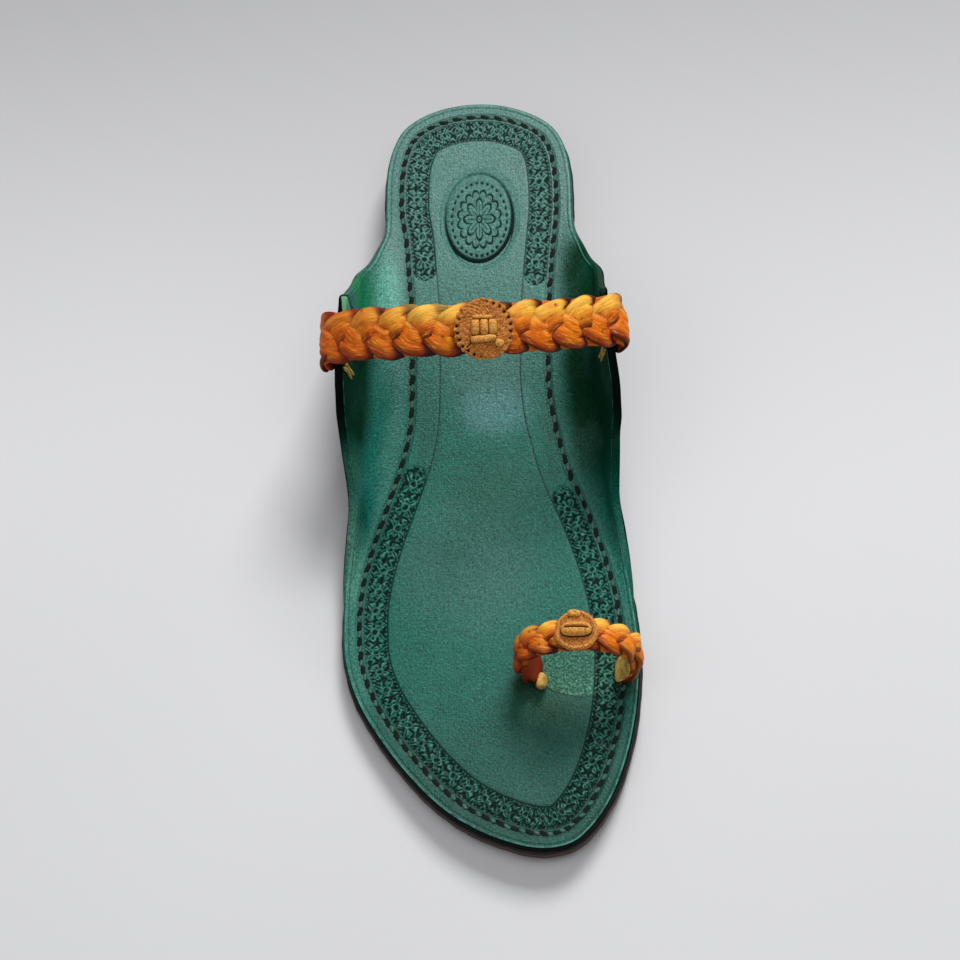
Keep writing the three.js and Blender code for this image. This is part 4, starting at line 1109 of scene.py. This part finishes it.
def dyed(name, worked):
    """Green dyed leather, greyer at the heel and deeper at the toe, partly as a painted sheen,
    with painted shade on the ears' inner faces and round the ring's feet, patches of painted
    light, a pale speckled patch between the ring's feet, dark pressed lines, a black cut edge
    and a painted highlight line inside it. worked is for the piece with tooled relief instead
    of lines, whose pressed ground is darkened as painted shade and raised work lightened as
    painted highlight."""
    n, place = new_finish(name, SOLE_GREEN)
    x, y = n.axis(place, "X"), n.axis(place, "Y")
    height, tone = grain(n, place, 0.85)
    # Greyer toward the heel and deeper toward the toe, partly the leather's tone and partly a painted
    # sheen on the heel.
    n.tint(HEEL_GREEN, y, -0.01, 0.1)
    n.tint(TOE_GREEN, y, -0.05, -0.125)
    cloud = n.minus(n.noise(place, 18, 4), 0.5)
    if not worked:
        # Painted shade on the ears' inner faces beyond the fold, reaching nearer the fold on the
        # medial ear, which faces away from the light.
        medial = n.span(x, -0.01, 0.01)
        turned = n.plus(n.mark("beyond"), n.times(cloud, 9.0), n.times(medial, 12.0))
        shifted = n.minus(y, n.times(medial, 0.044))
        deep = n.times(n.span(turned, 10.0, 19.0), n.span(shifted, 0.044, 0.034),
                       n.span(y, -0.025, 0.008, 0.12, 0.97))
        n.cover(deep, DEEP_GREEN)
    # Dye patches, and patches of painted shade, light and sheen, as the table lists.
    for centre, half, dye, strength in DYE_AND_PAINTED_LIGHT_PATCHES:
        share = n.patch(place, centre, half, 0.75)
        share = n.math("MULTIPLY", n.plus(share, n.times(share, cloud)), strength, clamp=True)
        n.cover(share, dye)
    speck = n.noise(place, 0.8, 2)
    # A paler, speckled oval between the ring's feet, ringed by a thin dark line.
    pale_patch = n.patch(place, PALE_PATCH_PLACE, (16.6, 12.2, 20), 0.04)
    pale_specks = n.times(pale_patch, n.span(speck, 0.45, 0.62, 0.12, 0.62))
    n.cover(pale_specks, (84, 146, 110))
    line = n.minus(n.patch(place, PALE_PATCH_PLACE, (17.1, 12.7, 20), 0.03), pale_patch)
    n.cover(n.times(line, 0.7), EDGE_DYE)
    n.tint(HEEL_GREEN, tone, 0.4, 0.75, 0.22)
    n.tint(TOE_GREEN, tone, 0.5, 0.25, 0.25)
    # Painted shade in the grain's hollows and painted highlight on its pebbles.
    n.tint(DEEP_GREEN, height, 0.62, 0.35, 0.35)
    n.tint(RIM_LIGHT, height, 0.85, 1.05, 0.12)
    n.tint((1.75, 1.6, 1.6, 1.0), speck, 0.52, 0.74, how="MULTIPLY")
    n.tint((0.45, 0.5, 0.5, 1.0), speck, 0.48, 0.28, how="MULTIPLY")
    roughness = n.span(tone, 0.3, 0.7, 0.34, 0.48)
    if worked:
        relief = n.mark("relief")
        # Painted shade in the pressed ground.
        n.tint(EDGE_DYE, relief, 0.66, 0.22, 0.93)
        roughness = n.math("MAXIMUM", roughness, n.span(relief, 0.7, 0.2, 0.0, 0.95))
        # Painted highlight on the raised work.
        n.tint((100, 154, 136), relief, 0.65, 1.0, 0.55)
        return close_finish(n, roughness, height, 0.2, 0.15, 0.03)
    cut = n.mark("cut")
    marks = {"inset": n.mark("inset"), "cut": cut}
    for mark, at, half, dark in DARK_LINES:
        n.tint(EDGE_DYE, n.apart(marks[mark], at), half, half * 0.3, dark)
    # A pale line at the rolled cut edge, a painted highlight.
    pale = n.times(n.span(n.apart(cut, 0.85), 0.3, 0.1, 0.0, 0.6),
                   n.span(n.noise(place, 3.5), 0.35, 0.6))
    n.cover(pale, RIM_LIGHT)
    # The edge is black beside the strap, and green inside a black line elsewhere
    ahead = n.times(n.span(y, 0.012, -0.006), n.span(y, -0.085, -0.055))
    away = n.math("MAXIMUM", n.span(y, 0.036, 0.044), ahead)
    near = n.times(n.span(cut, 0.62, 0.42), n.span(away, 0.0, 1.0, 1.0, 0.35))
    n.cover(near, EDGE_DYE)
    low = n.times(away, 0.8)
    outer = n.span(n.mark("outer"), low, n.plus(low, 0.2))
    n.cover(outer, OUTER_DYE)
    # The lateral ear's heelward corner: a pale round end inside a dark cut line. The pale end is a
    # painted highlight, where the bent leather turns to the light.
    corner = n.add("CombineXYZ", {"X": n.times(n.minus(y, 0.0335), 1 / 0.0085),
                                  "Y": n.math("DIVIDE", cut, 24.0),
                                  "Z": n.span(x, -0.03, -0.02, 0.0, 9.0)}).outputs[0]
    reach = n.vector("LENGTH", corner)
    wide = n.span(cut, 0.0, 22.0, 0.1, 0.3)
    n.tint(OUTER_DYE, n.apart(reach, 0.97), wide, n.times(wide, 0.5), 0.95)
    inside = n.times(n.span(reach, 0.92, 0.84), n.span(outer, 0.6, 0.3), 0.65)
    n.cover(inside, (120, 186, 138))
    gloss = n.times(n.span(outer, 0.2, 0.8, 0.3, 0.02), n.span(cut, 0.3, 0.8, 0.1, 1.0),
                    n.span(deep, 0.0, 1.0, 1.0, 0.35), n.span(y, -0.07, 0.05, 0.7, 1.0))
    return close_finish(n, roughness, height, 0.2, gloss, 0.03)


def sole_edge():
    """Brown sole leather: layered, burnished, darker where it was dyed at its top. Its browns
    are set darker than the leather's own, as painted shade.
    """
    n, place = new_finish("burnished_sole_leather", (32, 17, 11))
    height, tone = grain(n, place, 2.4)
    stretched = n.add("Mapping", {"Vector": place, "Scale": (1.0, 1.0, 9.0)})
    layers = n.noise(stretched.outputs[0], 4, 4)
    n.tint((92, 50, 31), layers, 0.3, 0.7)
    n.tint((48, 28, 20), tone, 0.35, 0.8, 0.5)
    n.tint((96, 50, 31), n.noise(place, 30, 2), 0.45, 0.7, 0.35)
    n.cover(n.times(n.mark("inked"), 0.95), OUTER_DYE)
    bumps = n.plus(n.times(height, 0.4), layers)
    return close_finish(n, n.span(layers, 0.3, 0.7, 0.5, 0.72), bumps, 0.16, 0.35)


STREAK_SCALE = 2.8
# Painted shade and light on the braids: place, half widths, colour, strength, softness.
# The ring's lateral foot and the strap's lateral half are darkened as painted shade, and
# the ring's medial side and the strap near its crown lightened as painted light.
BRAID_PATCHES = (
    ((12.5, -72, 12), (6, 12, 14), (104, 44, 28), 0.7, 0.4),
    ((46, -72, 24), (16, 16, 16), (255, 160, 40), 0.15, 0.7),
    ((13, -72, 22), (15, 14, 20), (156, 44, 0), 0.6, 0.7),
    ((-44, 28, 58), (22, 18, 40), (184, 60, 0), 0.35, 0.7),
    ((-14, 32, 74), (14, 12, 30), (255, 206, 84), 0.35, 0.7),
)


def braid_leather():
    """Amber leather, streaked along each strip, with a few dark spots. Its red-brown hollows
    and strip edges are painted shade, and its yellow crowns, pale edge lines and heelward
    side are painted highlight."""
    n, place = new_finish("amber_braid_leather", (156, 46, 0))
    height, _ = grain(n, place, 0.7)
    level, heelward, cloud = n.mark("level"), n.mark("heelward"), n.noise(place, 5, 3)
    strip = n.add("CombineXYZ", {"X": n.times(n.mark("strip_run"), 0.14),
                                 "Y": n.times(n.mark("fold"), 2.6)}).outputs[0]
    streaks = n.noise(strip, 1 / (STREAK_SCALE * MM), 5.0, 0.6)
    # Lighter and yellower on the crowns, a painted highlight.
    n.tint((230, 114, 4), level, -0.1, 0.9)
    n.tint((200, 78, 0), cloud, 0.4, 0.7, 0.6)
    n.tint((240, 158, 30), n.noise(place, 8, 2), 0.48, 0.68, 0.6)
    # Painted highlight on the strips' heelward side, where the light falls.
    heelward_highlight = n.times(heelward, n.span(cloud, 0.3, 0.6, 0.5, 1.0),
                   n.span(n.axis(place, "X"), -0.048, -0.006, 0.3, 1.0))
    n.cover(heelward_highlight, (255, 200, 72))
    rib = n.plus(n.mark("rib"), n.times(n.minus(cloud, 0.5), 0.5))
    # Painted shade along one edge of each strip and a painted highlight line near the other.
    n.tint((126, 32, 0), rib, -0.15, -0.85, 0.85)
    n.tint((246, 168, 84), n.apart(rib, 0.72), 0.12, 0.03, 0.4)
    n.tint((252, 182, 60), streaks, 0.52, 0.68, 0.65)
    dark = n.times(n.span(streaks, 0.47, 0.33), n.span(heelward, 0.0, 1.0, 0.65, 0.3))
    n.cover(dark, (128, 38, 0))
    # Painted shade at the strips' edges, less on the heelward side.
    edge_shade = n.times(n.span(n.math("ABSOLUTE", n.mark("rib")), 0.8, 0.98),
                    n.span(heelward, 0.0, 1.0, 0.85, 0.2))
    n.cover(edge_shade, (84, 20, 0))
    # Painted shade in the hollows between strips.
    n.tint((150, 46, 0), level, 0.7, 0.2, 0.85)
    n.tint((48, 10, 0), level, 0.48, 0.1, 0.95)
    n.tint((110, 32, 6), n.cells(place, 4.5), 0.16, 0.05, 0.7)
    for centre, half, patch_colour, strength, soft in BRAID_PATCHES:
        n.cover(n.times(n.patch(place, centre, half, soft), strength), patch_colour)
    bumps = n.plus(n.times(height, 0.5), n.times(streaks, 2.4))
    return close_finish(n, n.span(cloud, 0.3, 0.7, 0.36, 0.52), bumps, 0.14, 0.2)


def tan_leather():
    """Undyed tan leather with a rough, fibrous face, burnt dots, painted shade at the bean's
    slit and paler thongs.
    """
    n, place = new_finish("tan_leather", (134, 66, 14))
    fibres = n.noise(place, 0.6, 5, 0.7)
    n.tint((226, 150, 66), fibres, 0.36, 0.64)
    n.tint((188, 110, 62), n.noise(place, 3.2, 3), 0.4, 0.75, 0.6)
    n.tint((216, 158, 84), n.cells(place, 1.1), 0.3, 0.05, 0.5)
    ground = n.blend(n.span(fibres, 0.36, 0.6), (176, 106, 26), (240, 180, 90))
    n.cover(n.times(n.mark("pale"), 0.85), ground)
    # Dark where burnt, and painted shade at the bean's slit and edge.
    n.tint((42, 11, 4), n.mark("burn_and_shade"), 0.2, 0.75)
    return close_finish(n, n.span(fibres, 0.3, 0.7, 0.58, 0.82), fibres, 0.28, 0.2)


def fibrous(name, fibre, base, tints, rough, relief, gloss):
    """A base colour tinted by noises, each given by its size, detail and roughness. The
    fibre noise gives the bump and the range of the roughness too."""
    n, place = new_finish(name, base)
    noises = {row[0]: n.noise(place, *row[0]) for row in tints}
    for noise, low, high, share, dye in tints:
        n.tint(dye, noises[noise], low, high, share)
    roughness = n.span(noises[fibre], 0.3, 0.7, *rough)
    return close_finish(n, roughness, noises[fibre], relief, gloss)


DYED, TOOLED = dyed("dyed_leather", False), dyed("tooled_leather", True)
SOLE_EDGE, BRAID, TAN = sole_edge(), braid_leather(), tan_leather()
# Raw pale thong, stained in places
THONG = fibrous("pale_thong", (0.45, 4, 0.65), (196, 150, 66),
                (((2.6, 4), 0.35, 0.65, 1.0, (248, 210, 116)),
                 ((0.45, 4, 0.65), 0.6, 0.4, 0.5, (110, 74, 30))), (0.6, 0.8), 0.15, 0.3)
# Waxed thread, grey-green from the dye, with its twist as fine ridges
THREAD = fibrous("waxed_thread", (0.35, 3), (10, 44, 36),
                 (((0.35, 3), 0.35, 0.65, 1.0, (74, 118, 104)),
                  ((9, 3), 0.45, 0.7, 0.7, (34, 78, 66))), (0.5, 0.7), 0.12, 0.4)
# The black inside of an awl's slit, a painted shade where the thread dives into the
# leather, flecked with dark green.
SLIT = fibrous("awl_slit", (0.8, 3), (2, 8, 6), (((0.8, 3), 0.4, 0.8, 1.0, (12, 34, 26)),),
               (0.7, 0.9), 0.1, 0.2)

# The sandal
footbed()
tooled_bands()
pressed_oval()
stitching()
outsole()
heel()
strap = strap_band()
bodies, marks = braid(strap, STRAP_WIDTH, STRAP_THICKNESS, STRAP_PITCH, STRAP_POINT)
piece("instep_braid", bodies, BRAID, ["instep_strap"], marks)
ring = ring_band()
bodies, marks = braid(ring, RING_WIDTH, RING_THICKNESS, RING_PITCH, 0)
piece("toe_ring_braid", bodies, BRAID, ["toe_ring"], marks)
rosette(strap)
button(ring)
ears_lashings()
ring_thongs(ring)


# Floor, light and camera
FLOOR_DROP = 0.00005


def floor():
    """A plain pale floor, painted a little darker behind the sandal as shade from the light's
    fall-off. It lies just below the sole, so that no two faces share a plane."""
    x, y = np.meshgrid(np.linspace(-3, 3, 41), np.linspace(-3, 3, 41), indexing="ij")
    points = np.stack([x, y, 0 * x - FLOOR_DROP], -1).reshape(-1, 3)
    mesh = bpy.data.meshes.new("studio_floor")
    mesh.from_pydata(points.tolist(), [], grid(41, 41)[:, ::-1].tolist())
    mesh.shade_smooth()
    n, place = new_finish("pale_floor", (209, 209, 210))
    mist = n.noise(place, 300, 2)
    n.tint((213, 213, 214), mist, 0.3, 0.7)
    # Darker toward the back: a painted shade for the light's fall-off.
    n.tint((142, 142, 144), n.axis(place, "Y"), -0.03, 0.32)
    roughness = n.span(mist, 0.3, 0.7, 0.6, 0.7)
    mesh.materials.append(close_finish(n, roughness, mist, 0.01, 0.2))
    made = in_scene("studio_floor", mesh)


def soft_light(name, place, size, power):
    """A square soft box that faces the sandal."""
    lamp = bpy.data.lights.new(name, "AREA")
    lamp.energy, lamp.size = power, size
    made = in_scene(name, lamp)
    made.location = place
    made.rotation_euler = (Vector((0, 0, 0.02)) - Vector(place)).to_track_quat("-Z", "Y").to_euler()


def camera():
    """Stands where the photograph was taken from and looks at the sandal's middle. It is
    turned about its own view so that the sandal's long axis is upright in the picture."""
    eye = (np.array([57.4, -458.98, 1014.43]) - CENTRE) * MM
    ahead = unit(np.array([-0.001, -0.006, 0.012]) - eye)
    right = unit(np.cross(ahead, [0.0, 1.0, 0.0]))
    lens = bpy.data.cameras.new("camera")
    lens.sensor_width, lens.sensor_fit, lens.lens = 36, "HORIZONTAL", 125
    made = in_scene("camera", lens)
    made.location = eye
    axes = np.column_stack([right, np.cross(right, ahead), -ahead])
    made.rotation_euler = Matrix(axes.tolist()).to_euler()
    bpy.context.scene.camera = made


floor()
soft_light("key", (0.36, 1.1, 1.2), 0.6, 25)
soft_light("fill", (-0.9, -0.5, 1.4), 1.4, 3)
soft_light("top", (0.25, -0.2, 1.8), 1.1, 8)
world = bpy.data.worlds.new("studio")
world.use_nodes = True
world.node_tree.nodes["Background"].inputs["Color"].default_value = (0.93, 0.95, 1.0, 1.0)
world.node_tree.nodes["Background"].inputs["Strength"].default_value = 0.25
bpy.context.scene.world = world
bpy.context.scene.view_settings.view_transform = "Standard"
camera()
